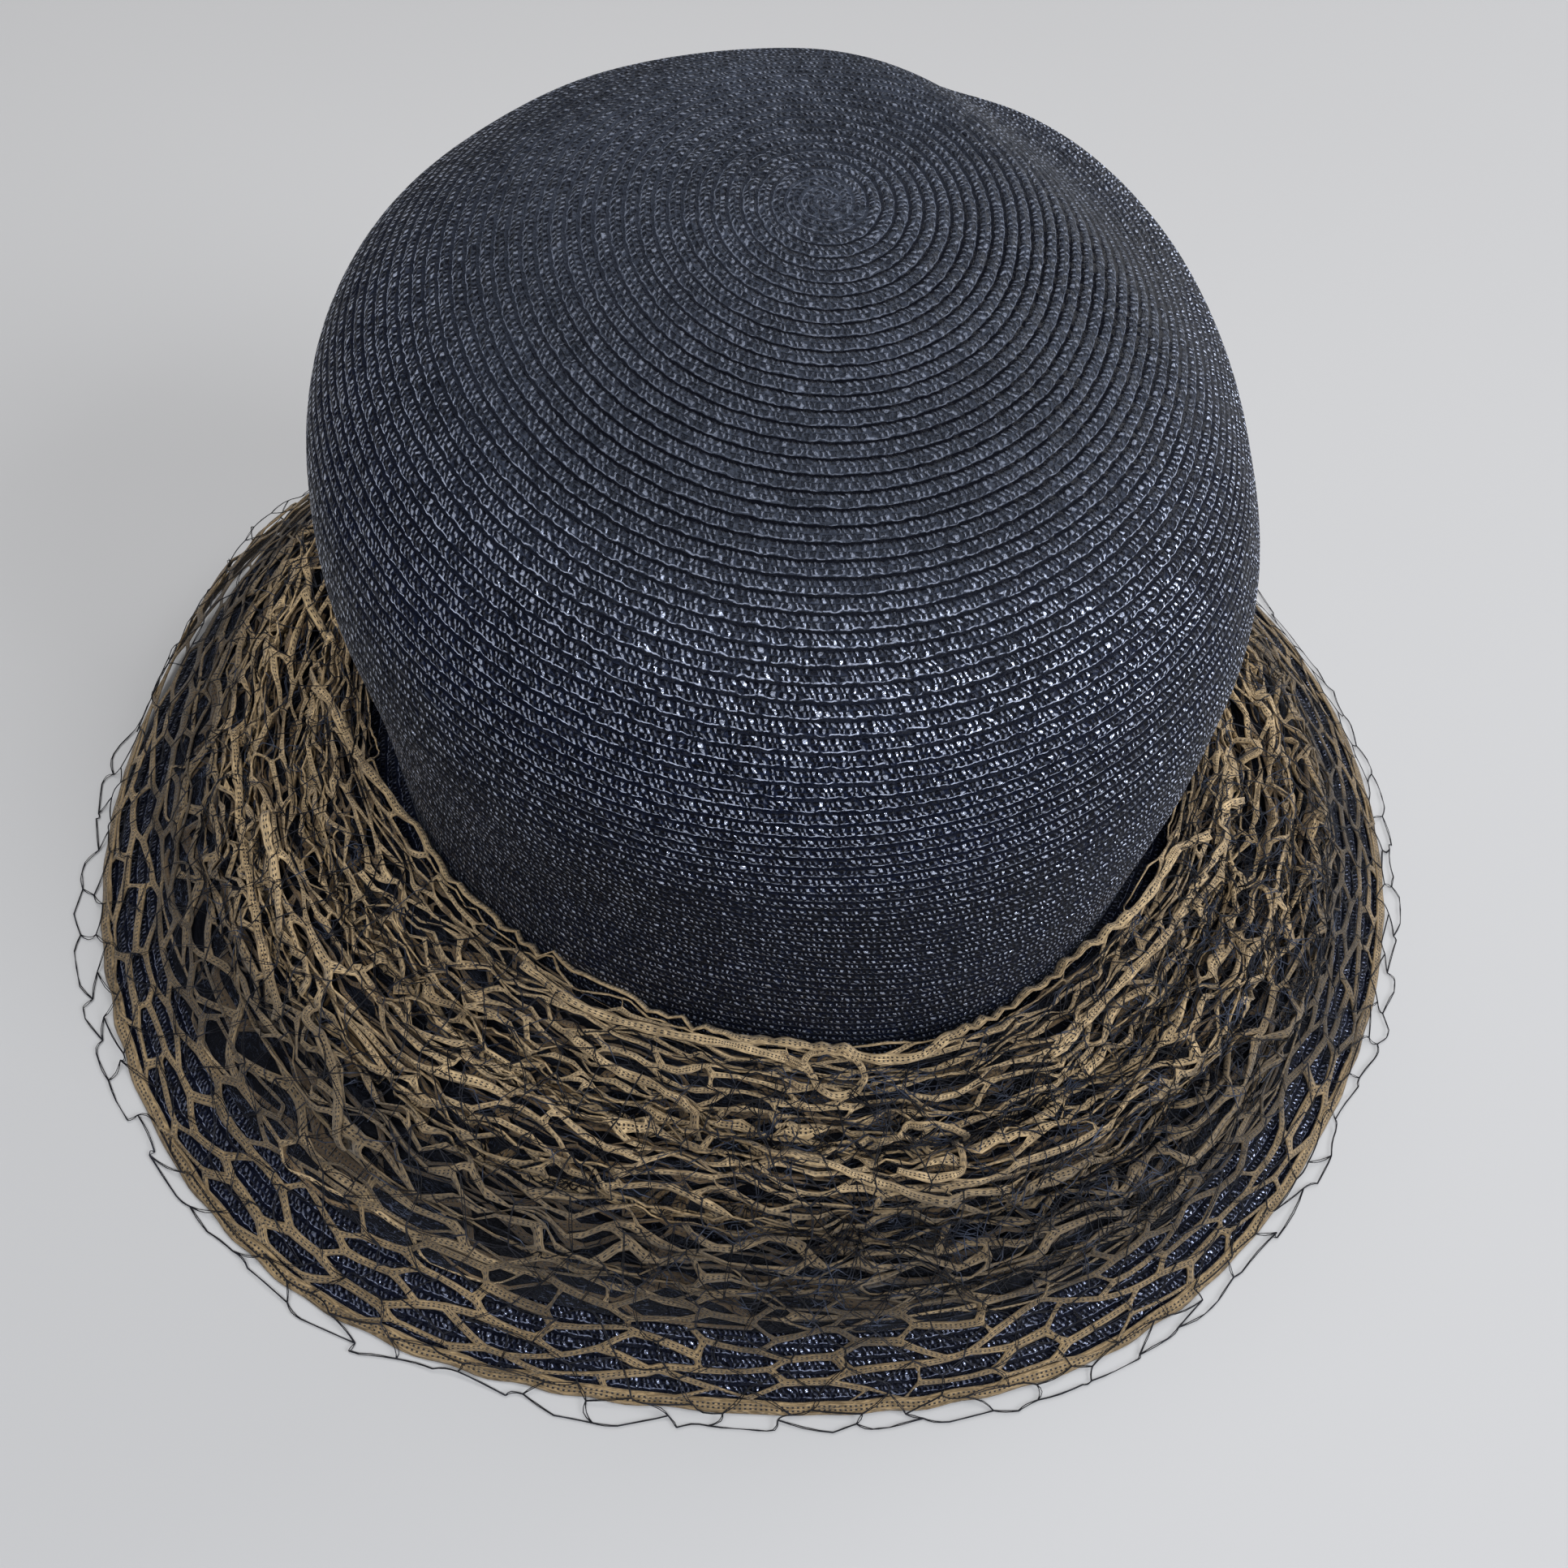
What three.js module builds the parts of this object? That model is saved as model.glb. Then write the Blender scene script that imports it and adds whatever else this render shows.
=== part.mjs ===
// Straw bucket hat with a tall soft crown and a drooping brim.
// Gathered honeycomb lace is folded round the crown and lies over the brim,
// and a fine veil net covers the lace and hangs a little past the rim.
// Millimetres, +Z up, front of the hat towards -Y, standing on its rim at Z = 0.

import * as THREE from 'three';

// Head size and crown
const CROWN_HALF_WIDTH = 89.3;
const CROWN_HALF_FRONT = 99.3;
const CROWN_HALF_BACK = 92.4;
const TIP_HEIGHT = 151.7;
const TIP_TILT_DEG = 10.6;
const TILT_FADES_AT = 91;
const DENTS_FADE_AT = 61;
const SHOULDER_LEVEL = 26;
const SHOULDER_SPREAD = 24;
const WALL_STARTS = 41;
const WALL_FULL = 88;
const STRAW_WALL = 2.0;
const CROWN_LEVELS = 16;

// Brim
const CROWN_BASE_HEIGHT = 24;
const SEAM_GAP = 0.3;
const RIM_CENTRE = { x: 2.9, y: 1.5 };
const RIM_FACE_WIDTH = 3.0;

// Lace and veil
const LACE_WALL = 1.1;
const LACE_CLEARANCE = 0.6;
const LACE_CELLS_ROUND = 32;
const LACE_ROWS = 2;
const LACE_RIBBON = 3.2;
const FOLD_CLEARANCE = 0.6;
const VEIL_WALL = 1.0;
const VEIL_CELLS_ROUND = 28;
const VEIL_ROWS = 2;
const VEIL_STRAND = 2.2;
const VEIL_HANGS_FROM = 0.95;

const POINT_INSET = 1.25;
const SIDE_INSET = 0.6;

// Facets round the hat
const SEGMENTS = 40;
const FULL_TURN = 2 * Math.PI;
const NORMAL_STEP = 0.004;

// Meridian of the crown, from the tip down: reach as a share of the half width,
// drop in millimetres below the tip.
const CROWN_PROFILE = [
  { reach: 0.0, drop: 0 },
  { reach: 0.2, drop: 0.8 },
  { reach: 0.4, drop: 3.2 },
  { reach: 0.58, drop: 7.8 },
  { reach: 0.75, drop: 14.5 },
  { reach: 0.87, drop: 22.5 },
  { reach: 0.955, drop: 33 },
  { reach: 1.0, drop: 45 },
  { reach: 1.02, drop: 58 },
  { reach: 1.01, drop: 74 },
  { reach: 0.99, drop: 92 },
  { reach: 0.965, drop: 110 },
  { reach: 0.945, drop: 127.7 },
];

// Plan of the crown every 30 degrees from +X towards +Y: how much the soft
// shoulder and the lower wall swell past the plain oval.
const CROWN_PLAN = [
  { shoulder: -0.04, wall: 0.04 },
  { shoulder: -0.045, wall: 0.025 },
  { shoulder: -0.045, wall: 0.01 },
  { shoulder: -0.1, wall: 0.0 },
  { shoulder: -0.055, wall: -0.005 },
  { shoulder: 0.035, wall: -0.015 },
  { shoulder: 0.045, wall: -0.035 },
  { shoulder: 0.02, wall: -0.04 },
  { shoulder: 0.01, wall: -0.055 },
  { shoulder: 0.01, wall: -0.035 },
  { shoulder: 0.01, wall: 0.028 },
  { shoulder: 0.005, wall: 0.032 },
];

// Dents and soft ridges of the crown's top, seen from above: centre, heading
// of the long axis, half sizes, and depth in millimetres (a ridge is negative).
const CROWN_DENTS = [
  { x: 43, y: 38, heading: -47, length: 62, width: 13, depth: 5.0 },
  { x: 27, y: 26, heading: -47, length: 58, width: 10, depth: -1.6 },
  { x: -70, y: 34, heading: 70, length: 26, width: 12, depth: 2.2 },
];

// Rim of the brim every 30 degrees, as its distance from the rim's centre.
const RIM_OUTLINE = [
  { reach: 148.5 },
  { reach: 152.6 },
  { reach: 153.0 },
  { reach: 152.9 },
  { reach: 152.1 },
  { reach: 151.8 },
  { reach: 150.5 },
  { reach: 154.8 },
  { reach: 158.7 },
  { reach: 151.8 },
  { reach: 152.7 },
  { reach: 147.1 },
];

// Section of the brim: share of the way out to the rim, height as a share of
// the crown's base height.
const BRIM_PROFILE = [
  { out: 0.0, height: 1.0 },
  { out: 0.1, height: 0.91 },
  { out: 0.32, height: 0.77 },
  { out: 0.56, height: 0.57 },
  { out: 0.77, height: 0.34 },
  { out: 0.92, height: 0.13 },
  { out: 1.0, height: 0.0 },
];

// The three gathered folds of lace, every 45 degrees: inner and outer foot as
// shares of the way out, and the crest's height above the brim in millimetres.
const FOLD_TABLES = {
  lace_fold_upper: [
    { inner: 0.06, outer: 0.29, crest: 11.5 },
    { inner: 0.05, outer: 0.26, crest: 11.0 },
    { inner: 0.05, outer: 0.25, crest: 10.5 },
    { inner: 0.05, outer: 0.26, crest: 11.0 },
    { inner: 0.07, outer: 0.28, crest: 12.0 },
    { inner: 0.05, outer: 0.26, crest: 12.5 },
    { inner: 0.05, outer: 0.26, crest: 12.0 },
    { inner: 0.07, outer: 0.3, crest: 12.5 },
  ],
  lace_fold_middle: [
    { inner: 0.32, outer: 0.52, crest: 10.5 },
    { inner: 0.29, outer: 0.49, crest: 9.5 },
    { inner: 0.28, outer: 0.47, crest: 9.0 },
    { inner: 0.29, outer: 0.47, crest: 9.0 },
    { inner: 0.31, outer: 0.48, crest: 9.0 },
    { inner: 0.29, outer: 0.47, crest: 9.5 },
    { inner: 0.29, outer: 0.49, crest: 10.5 },
    { inner: 0.33, outer: 0.53, crest: 11.5 },
  ],
  lace_fold_lower: [
    { inner: 0.55, outer: 0.7, crest: 7.0 },
    { inner: 0.52, outer: 0.68, crest: 6.0 },
    { inner: 0.5, outer: 0.66, crest: 5.5 },
    { inner: 0.5, outer: 0.64, crest: 5.0 },
    { inner: 0.51, outer: 0.63, crest: 4.0 },
    { inner: 0.5, outer: 0.64, crest: 4.5 },
    { inner: 0.52, outer: 0.68, crest: 6.5 },
    { inner: 0.56, outer: 0.7, crest: 7.5 },
  ],
};

// Cross-section of a fold, foot to foot: share of its width, share of its crest.
const FOLD_ARCH = [
  { across: 0.0, rise: 0.0 },
  { across: 0.13, rise: 0.62 },
  { across: 0.42, rise: 1.0 },
  { across: 0.74, rise: 0.72 },
  { across: 1.0, rise: 0.0 },
];
const FOLD_RIPPLES = [
  { count: 7, share: 0.05, turn: 0.4 },
  { count: 12, share: 0.035, turn: 2.1 },
];

// Corners of the outer lace's honeycomb, from its inner edge to its rim ribbon.
const LACE_LEVELS = [
  { out: 0.725 },
  { out: 0.74 },
  { out: 0.768 },
  { out: 0.832 },
  { out: 0.862 },
  { out: 0.926 },
  { out: 0.956 },
  { out: 0.985 },
];

// Corners of the veil's net where it spans from crest to crest and over the
// rim: share of the way out, and millimetres above the brim.
const VEIL_PROFILE = [
  { out: 0.07, lift: 14.2 },
  { out: 0.1, lift: 14.6 },
  { out: 0.18, lift: 15.2 },
  { out: 0.42, lift: 13.4 },
  { out: 0.55, lift: 11.2 },
  { out: 0.87, lift: 3.6 },
  { out: 0.95, lift: 2.9 },
  { out: 1.01, lift: 2.6 },
];

const FINISHES = {
  crown: { color: 0x2b303d, roughness: 0.42, metalness: 0.05 },
  brim: { color: 0x252a36, roughness: 0.45, metalness: 0.05 },
  lace: { color: 0x8a6c47, roughness: 0.85, metalness: 0.0 },
  veil: { color: 0x1c1c1e, roughness: 0.7, metalness: 0.0 },
};

function finish(name) {
  return new THREE.MeshStandardMaterial(FINISHES[name]);
}

function clamp01(value) {
  return Math.min(1, Math.max(0, value));
}

function catmullRom(a, b, c, d, t) {
  const slopeB = (c - a) / 2;
  const slopeC = (d - b) / 2;
  const t2 = t * t;
  const t3 = t2 * t;
  return (2 * t3 - 3 * t2 + 1) * b + (t3 - 2 * t2 + t) * slopeB
    + (3 * t2 - 2 * t3) * c + (t3 - t2) * slopeC;
}

// Smooth value of a column of a table whose rows go round the hat evenly.
function readRound(table, column, azimuth) {
  const count = table.length;
  const place = ((azimuth / FULL_TURN) * count % count + count) % count;
  const row = Math.floor(place);
  const at = (offset) => table[(row + offset + count) % count][column];
  return catmullRom(at(-1), at(0), at(1), at(2), place - row);
}

// Value of a column between the rows of a section table, by its key column.
function readSection(table, key, column, position) {
  let row = 0;
  while (row < table.length - 2 && table[row + 1][key] < position) {
    row += 1;
  }
  const from = table[row];
  const to = table[row + 1];
  const t = (position - from[key]) / (to[key] - from[key]);
  return from[column] + (to[column] - from[column]) * t;
}

const crownMeridian = new THREE.SplineCurve(
  CROWN_PROFILE.map((row) => new THREE.Vector2(row.reach * CROWN_HALF_WIDTH, row.drop)),
);

function dentDepth(x, y) {
  let depth = 0;
  for (const dent of CROWN_DENTS) {
    const heading = THREE.MathUtils.degToRad(dent.heading);
    const dx = x - dent.x;
    const dy = y - dent.y;
    const along = (dx * Math.cos(heading) + dy * Math.sin(heading)) / dent.length;
    const across = (dy * Math.cos(heading) - dx * Math.sin(heading)) / dent.width;
    depth += dent.depth * Math.exp(-along * along - across * across);
  }
  return depth;
}

// Outer surface of the crown: azimuth in radians, share of the way from the
// tip (0) down to the head opening (1), measured along the meridian.
function crownSurface(azimuth, share) {
  const { x: reach, y: drop } = crownMeridian.getPointAt(clamp01(share));
  const nearShoulder = Math.exp(-(((drop - SHOULDER_LEVEL) / SHOULDER_SPREAD) ** 2));
  const onWall = clamp01((drop - WALL_STARTS) / (WALL_FULL - WALL_STARTS));
  const swell = 1 + readRound(CROWN_PLAN, 'shoulder', azimuth) * nearShoulder
    + readRound(CROWN_PLAN, 'wall', azimuth) * onWall;
  const halfDepth = Math.sin(azimuth) < 0 ? CROWN_HALF_FRONT : CROWN_HALF_BACK;
  const x = reach * swell * Math.cos(azimuth);
  const y = reach * swell * Math.sin(azimuth) * halfDepth / CROWN_HALF_WIDTH;
  const tilt = Math.tan(THREE.MathUtils.degToRad(TIP_TILT_DEG)) * Math.max(0, 1 - drop / TILT_FADES_AT);
  const top = Math.max(0, 1 - drop / DENTS_FADE_AT);
  return new THREE.Vector3(x, y, TIP_HEIGHT - drop + y * tilt - dentDepth(x, y) * top);
}

function headOpening(azimuth) {
  return crownSurface(azimuth, 1);
}

function rimPoint(azimuth) {
  const reach = readRound(RIM_OUTLINE, 'reach', azimuth);
  return new THREE.Vector3(
    RIM_CENTRE.x + reach * Math.cos(azimuth),
    RIM_CENTRE.y + reach * Math.sin(azimuth),
    0,
  );
}

// Outer surface of the brim: share of the way from the crown (0) to the rim (1).
function brimSurface(azimuth, out) {
  const point = headOpening(azimuth).lerp(rimPoint(azimuth), out);
  point.z = (CROWN_BASE_HEIGHT - SEAM_GAP) * readSection(BRIM_PROFILE, 'out', 'height', out);
  return point;
}

function normalOf(surface, azimuth, share) {
  const low = Math.max(share - NORMAL_STEP, 0);
  const high = low + 2 * NORMAL_STEP;
  const round = surface(azimuth + NORMAL_STEP, share).sub(surface(azimuth - NORMAL_STEP, share));
  const down = surface(azimuth, high).sub(surface(azimuth, low));
  return down.cross(round).normalize();
}

// A surface that stands off another by a distance along its outward normal.
function standOff(surface, distance) {
  return (azimuth, share) => surface(azimuth, share)
    .addScaledVector(normalOf(surface, azimuth, share), distance);
}

function ringOf(surface, share, segments) {
  return Array.from({ length: segments }, (unused, i) => surface(i * FULL_TURN / segments, share));
}

function geometryFrom(points, faces) {
  const geometry = new THREE.BufferGeometry();
  geometry.setFromPoints(points);
  geometry.setIndex(faces.flat());
  geometry.computeVertexNormals();
  return geometry;
}

// Closed wall between an outer and an inner list of rings, both running from
// the top down. A list of one point at the start is a pole.
function wallBetween(outerRings, innerRings) {
  const loop = [...outerRings, ...[...innerRings].reverse()];
  const points = loop.flat();
  const starts = [];
  let total = 0;
  for (const ring of loop) {
    starts.push(total);
    total += ring.length;
  }
  const faces = [];
  const last = outerRings[0].length === 1 ? loop.length - 1 : loop.length;
  for (let r = 0; r < last; r += 1) {
    joinRings(faces, loop, starts, r, (r + 1) % loop.length);
  }
  return geometryFrom(points, faces);
}

function joinRings(faces, loop, starts, upper, lower) {
  const count = Math.max(loop[upper].length, loop[lower].length);
  const at = (ring, i) => starts[ring] + (loop[ring].length === 1 ? 0 : i % count);
  for (let i = 0; i < count; i += 1) {
    const [a, b] = [at(upper, i), at(upper, i + 1)];
    const [c, d] = [at(lower, i), at(lower, i + 1)];
    if (a !== b) {
      faces.push([a, c, b]);
    }
    if (c !== d) {
      faces.push([b, c, d]);
    }
  }
}

function levelRing(ring, height) {
  return ring.map((point) => new THREE.Vector3(point.x, point.y, height));
}

function crownGeometry() {
  const shares = Array.from({ length: CROWN_LEVELS }, (unused, i) => (i + 1) / CROWN_LEVELS);
  const inside = standOff(crownSurface, -STRAW_WALL);
  const tip = crownSurface(0, 0);
  const outer = [[tip], ...shares.map((share) => ringOf(crownSurface, share, SEGMENTS))];
  const inner = shares.map((share) => ringOf(inside, share, SEGMENTS));
  const innerTip = [new THREE.Vector3(tip.x, tip.y, tip.z - STRAW_WALL)];
  outer[CROWN_LEVELS] = levelRing(outer[CROWN_LEVELS], CROWN_BASE_HEIGHT);
  inner[CROWN_LEVELS - 1] = levelRing(inner[CROWN_LEVELS - 1], CROWN_BASE_HEIGHT);
  return wallBetween(outer, [innerTip, ...inner]);
}

function brimGeometry() {
  const inside = standOff(brimSurface, -STRAW_WALL);
  const outer = BRIM_PROFILE.map((row) => ringOf(brimSurface, row.out, SEGMENTS));
  const inner = BRIM_PROFILE.map((row) => ringOf(inside, row.out, SEGMENTS));
  const crownInside = ringOf(standOff(crownSurface, -STRAW_WALL), 1, SEGMENTS);
  inner[0] = levelRing(crownInside, CROWN_BASE_HEIGHT - SEAM_GAP);
  inner[inner.length - 1] = outer[outer.length - 1].map((point) => {
    const inward = new THREE.Vector3(RIM_CENTRE.x, RIM_CENTRE.y, 0).sub(point).setLength(RIM_FACE_WIDTH);
    return inward.add(point);
  });
  return wallBetween(outer, inner);
}

function foldRipple(azimuth) {
  return FOLD_RIPPLES.reduce(
    (sum, ripple) => sum + ripple.share * Math.sin(ripple.count * azimuth + ripple.turn),
    1,
  );
}

// Outer surface of a fold: azimuth, and the place along its arch.
function foldSurface(table) {
  return (azimuth, place) => {
    const arch = FOLD_ARCH[place];
    const inner = readRound(table, 'inner', azimuth);
    const outer = readRound(table, 'outer', azimuth);
    const crest = readRound(table, 'crest', azimuth) * foldRipple(azimuth);
    const out = inner + (outer - inner) * arch.across;
    const foot = brimSurface(azimuth, out);
    const normal = normalOf(brimSurface, azimuth, (inner + outer) / 2);
    return foot.addScaledVector(normal, FOLD_CLEARANCE + crest * arch.rise);
  };
}

function foldGeometry(table) {
  const places = FOLD_ARCH.map((row, place) => place);
  const outer = places.map((place) => ringOf(foldSurface(table), place, SEGMENTS));
  const inner = outer.map((ring) => ring.map((point, i) => insideOfArch(outer, point, i)));
  return wallBetween(outer, inner);
}

// The wall's inner side: every point moves towards the middle between the feet.
function insideOfArch(outer, point, i) {
  const middle = outer[0][i].clone().lerp(outer[outer.length - 1][i], 0.5);
  return middle.sub(point).setLength(LACE_WALL).add(point);
}

// Honeycomb net on a surface: cells long way round, rows offset by half a
// cell, and a plain band along both edges. Levels are the surface's shares
// at the corners of the cells, from the inner edge outwards.
function netGeometry(surface, levels, cellsRound, rows, strand, wall) {
  const halfCells = cellsRound * 2;
  const points = [];
  const faces = [];
  const addPair = (column, level, inset) => {
    const azimuth = (column + inset.round) * FULL_TURN / halfCells;
    const share = level + inset.out;
    const under = surface(azimuth, share);
    const over = under.clone().addScaledVector(normalOf(surface, azimuth, share), wall);
    points.push(over, under);
    return points.length - 2;
  };
  const grid = levels.map((level) => Array.from(
    { length: halfCells },
    (unused, column) => addPair(column, level, { round: 0, out: 0 }),
  ));
  const corner = (level, column) => grid[level][(column + halfCells) % halfCells];
  const sheet = (a, b, c) => {
    faces.push([a, b, c]);
    faces.push([a + 1, c + 1, b + 1]);
  };
  const edge = (a, b) => {
    faces.push([a, a + 1, b]);
    faces.push([b, a + 1, b + 1]);
  };
  const spanRound = surface(0, levels[1]).distanceTo(surface(FULL_TURN / halfCells, levels[1]));
  const insetRound = strand / 2 / spanRound;
  for (let row = 0; row < rows; row += 1) {
    const low = 1 + row * 2;
    for (let cell = 0; cell < cellsRound; cell += 1) {
      const middle = cell * 2 + (row % 2);
      const ring = [
        [low, middle], [low + 1, middle - 1], [low + 2, middle - 1],
        [low + 3, middle], [low + 2, middle + 1], [low + 1, middle + 1],
      ];
      const tall = levels[low + 3] - levels[low];
      const heightMm = surface(0, levels[low]).distanceTo(surface(0, levels[low + 3]));
      const insetOut = strand / 2 * tall / heightMm;
      const hole = ring.map(([level, column]) => addPair(column, levels[level], {
        round: Math.sign(middle - column) * insetRound,
        out: holeInset(level - low, insetOut),
      }));
      for (let k = 0; k < ring.length; k += 1) {
        const next = (k + 1) % ring.length;
        const [a, b] = [corner(...ring[k]), corner(...ring[next])];
        sheet(a, b, hole[k]);
        sheet(b, hole[next], hole[k]);
        edge(hole[next], hole[k]);
      }
    }
  }
  const bands = [
    { straight: 0, peak: 1, valley: 2, offset: 0, flip: false },
    {
      straight: levels.length - 1,
      peak: levels.length - 2,
      valley: levels.length - 3,
      offset: (rows - 1) % 2,
      flip: true,
    },
  ];
  for (const band of bands) {
    for (let column = 0; column < halfCells; column += 1) {
      const level = (at) => ((at + band.offset) % 2 === 0 ? band.peak : band.valley);
      const a = corner(band.straight, column);
      const b = corner(band.straight, column + 1);
      const c = corner(level(column), column);
      const d = corner(level(column + 1), column + 1);
      if (band.flip) {
        sheet(c, a, d);
        sheet(d, a, b);
        edge(a, b);
      } else {
        sheet(a, c, b);
        sheet(b, c, d);
        edge(b, a);
      }
    }
  }
  return geometryFrom(points, faces);
}

// How far a hole's corner lies inside its cell's corner, on the way out: more
// at the two pointed ends than along the sides.
function holeInset(cornerLevel, inset) {
  const shares = [POINT_INSET, SIDE_INSET, -SIDE_INSET, -POINT_INSET];
  return shares[cornerLevel] * inset;
}

function laceCoverGeometry() {
  const levels = LACE_LEVELS.map((row) => row.out);
  const surface = standOff(brimSurface, LACE_CLEARANCE);
  return netGeometry(surface, levels, LACE_CELLS_ROUND, LACE_ROWS, LACE_RIBBON, LACE_WALL);
}

function veilSurface(azimuth, share) {
  const place = share * (VEIL_PROFILE.length - 1);
  const row = Math.min(Math.floor(place), VEIL_PROFILE.length - 2);
  const t = place - row;
  const out = VEIL_PROFILE[row].out * (1 - t) + VEIL_PROFILE[row + 1].out * t;
  const lift = VEIL_PROFILE[row].lift * (1 - t) + VEIL_PROFILE[row + 1].lift * t;
  const normal = normalOf(brimSurface, azimuth, Math.min(out, VEIL_HANGS_FROM));
  return brimSurface(azimuth, out).addScaledVector(normal, lift);
}

function veilGeometry() {
  const levels = VEIL_PROFILE.map((row, i) => i / (VEIL_PROFILE.length - 1));
  return netGeometry(veilSurface, levels, VEIL_CELLS_ROUND, VEIL_ROWS, VEIL_STRAND, VEIL_WALL);
}

function piece(name, geometry, material) {
  const mesh = new THREE.Mesh(geometry, material);
  mesh.name = name;
  return mesh;
}

function buildHat() {
  const hat = new THREE.Group();
  hat.add(piece('crown', crownGeometry(), finish('crown')));
  hat.add(piece('brim', brimGeometry(), finish('brim')));
  for (const [name, table] of Object.entries(FOLD_TABLES)) {
    hat.add(piece(name, foldGeometry(table), finish('lace')));
  }
  hat.add(piece('lace_cover', laceCoverGeometry(), finish('lace')));
  hat.add(piece('veil', veilGeometry(), finish('veil')));
  const box = new THREE.Box3().setFromObject(hat);
  const middle = box.getCenter(new THREE.Vector3());
  hat.position.set(-middle.x, -middle.y, -box.min.z);
  return hat;
}

export default buildHat();
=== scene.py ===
"""Straw bucket hat with gathered honeycomb lace and a veil net.

Metres, +Z up, front of the hat towards -Y, standing on its rim at Z = 0. The form's tables are in
millimetres about the crown's own axis, as in the part's source, and HatForm.place brings them into
the shared frame.
"""

import logging
import math
from dataclasses import dataclass, field
from enum import Enum
from typing import Callable, ClassVar

import bmesh
import bpy
import numpy as np
from mathutils import Matrix, Vector


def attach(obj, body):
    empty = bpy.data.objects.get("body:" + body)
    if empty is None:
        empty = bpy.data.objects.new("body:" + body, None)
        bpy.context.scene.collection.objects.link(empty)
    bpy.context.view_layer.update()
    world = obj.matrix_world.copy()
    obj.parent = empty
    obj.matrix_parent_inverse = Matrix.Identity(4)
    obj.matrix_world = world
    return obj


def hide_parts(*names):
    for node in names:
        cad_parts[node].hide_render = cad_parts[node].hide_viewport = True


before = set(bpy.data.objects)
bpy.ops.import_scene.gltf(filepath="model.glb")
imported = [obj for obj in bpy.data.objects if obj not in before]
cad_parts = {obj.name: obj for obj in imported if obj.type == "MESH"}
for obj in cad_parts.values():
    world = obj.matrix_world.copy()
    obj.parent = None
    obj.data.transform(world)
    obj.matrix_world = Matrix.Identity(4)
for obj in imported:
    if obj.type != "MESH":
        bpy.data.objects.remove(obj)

LOG = logging.getLogger("hat")
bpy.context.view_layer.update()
FULL_TURN = 2 * math.pi
MM = 0.001
WELD = 0.00001
TINY = 1e-6
UPPER_SEED = 21

Array = np.ndarray
Mesh = bmesh.types.BMesh
Piece = bpy.types.Object
Finish = bpy.types.Material
Pair = tuple[float, float]
Triple = tuple[float, float, float]
Row = tuple[float, ...]
Surface = Callable[[Array, Array], Array]


# Form of the hat


def between(a: Array, b: Array, c: Array, d: Array, t: Array) -> Array:
    """Smooth value between two rows of a table.

    Args:
        a: The row before them.
        b: The first one.
        c: The second one.
        d: The row after them.
        t: Way from the first to the second, from 0 to 1.

    Returns:
        The value at each place.
    """
    slope_b = (c - a) / 2
    slope_c = (d - b) / 2
    t2 = t * t
    t3 = t2 * t
    at_b = (2 * t3 - 3 * t2 + 1) * b + (t3 - 2 * t2 + t) * slope_b
    return at_b + (3 * t2 - 2 * t3) * c + (t3 - t2) * slope_c


def along_points(points: Array, steps: int) -> Array:
    """Smooth open line through points.

    Args:
        points: One row for each point.
        steps: Steps from one point to the next.

    Returns:
        The line, one row for each step.
    """
    last = len(points) - 1
    spans = np.repeat(np.arange(last), steps)
    t = np.tile(np.arange(steps) / steps, last)[:, None]
    a, b, c, d = (points[np.clip(spans + step, 0, last)] for step in (-1, 0, 1, 2))
    return np.vstack([between(a, b, c, d, t), points[last]])


def read_round(values: Row, azimuth: Array) -> Array:
    """Smooth value of a table whose rows go round the hat evenly.

    Args:
        values: One value for each row, the first at +X, the next ones towards +Y.
        azimuth: Angles in radians.

    Returns:
        The value at each angle.
    """
    rows = np.asarray(values)
    place = (azimuth / FULL_TURN * len(rows)) % len(rows)
    row = np.floor(place).astype(int)
    a, b, c, d = (rows[(row + step) % len(rows)] for step in (-1, 0, 1, 2))
    return between(a, b, c, d, place - row)


@dataclass(frozen=True)
class Waves:
    """A smooth random field round the hat, made of seeded sine waves.

    Attributes:
        seed: Seed of the waves.
        round_range: Least and most waves round the hat.
        out_range: Least and most waves across a piece, from its inner to its outer edge.
        count: Number of sine waves that are added up.
    """

    seed: int
    round_range: tuple[int, int]
    out_range: Pair
    count: int = 7

    def at(self, azimuth: Array, across: Array) -> Array:
        """Value of the field, mostly between -1 and 1.

        Args:
            azimuth: Angles in radians.
            across: Shares of the way across the piece.

        Returns:
            One value for each place.
        """
        rng = np.random.default_rng(self.seed)
        total = np.zeros(np.broadcast(azimuth, across).shape)
        for _ in range(self.count):
            turns = int(rng.integers(self.round_range[0], self.round_range[1] + 1))
            rows = rng.uniform(*self.out_range) * rng.choice((-1, 1))
            phase = rng.uniform(0, FULL_TURN)
            total += np.sin(turns * azimuth + FULL_TURN * rows * across + phase)
        return total / math.sqrt(self.count)


@dataclass(frozen=True)
class Dent:
    """A dent of the crown's top, or a soft ridge where its depth is negative.

    Attributes:
        x: Centre, in millimetres.
        y: Centre, in millimetres.
        heading: Angle of the long axis in degrees.
        length: Half size along the heading, in millimetres.
        width: Half size across it, in millimetres.
        depth: Depth in millimetres.
    """

    x: float
    y: float
    heading: float
    length: float
    width: float
    depth: float

    def depth_at(self, x: Array, y: Array) -> Array:
        """How deep the dent is at each place seen from above.

        Args:
            x: Places in millimetres.
            y: Places in millimetres.

        Returns:
            Depths in millimetres.
        """
        turn = math.radians(self.heading)
        dx = x - self.x
        dy = y - self.y
        along = (dx * math.cos(turn) + dy * math.sin(turn)) / self.length
        across = (dy * math.cos(turn) - dx * math.sin(turn)) / self.width
        return self.depth * np.exp(-along * along - across * across)


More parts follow.
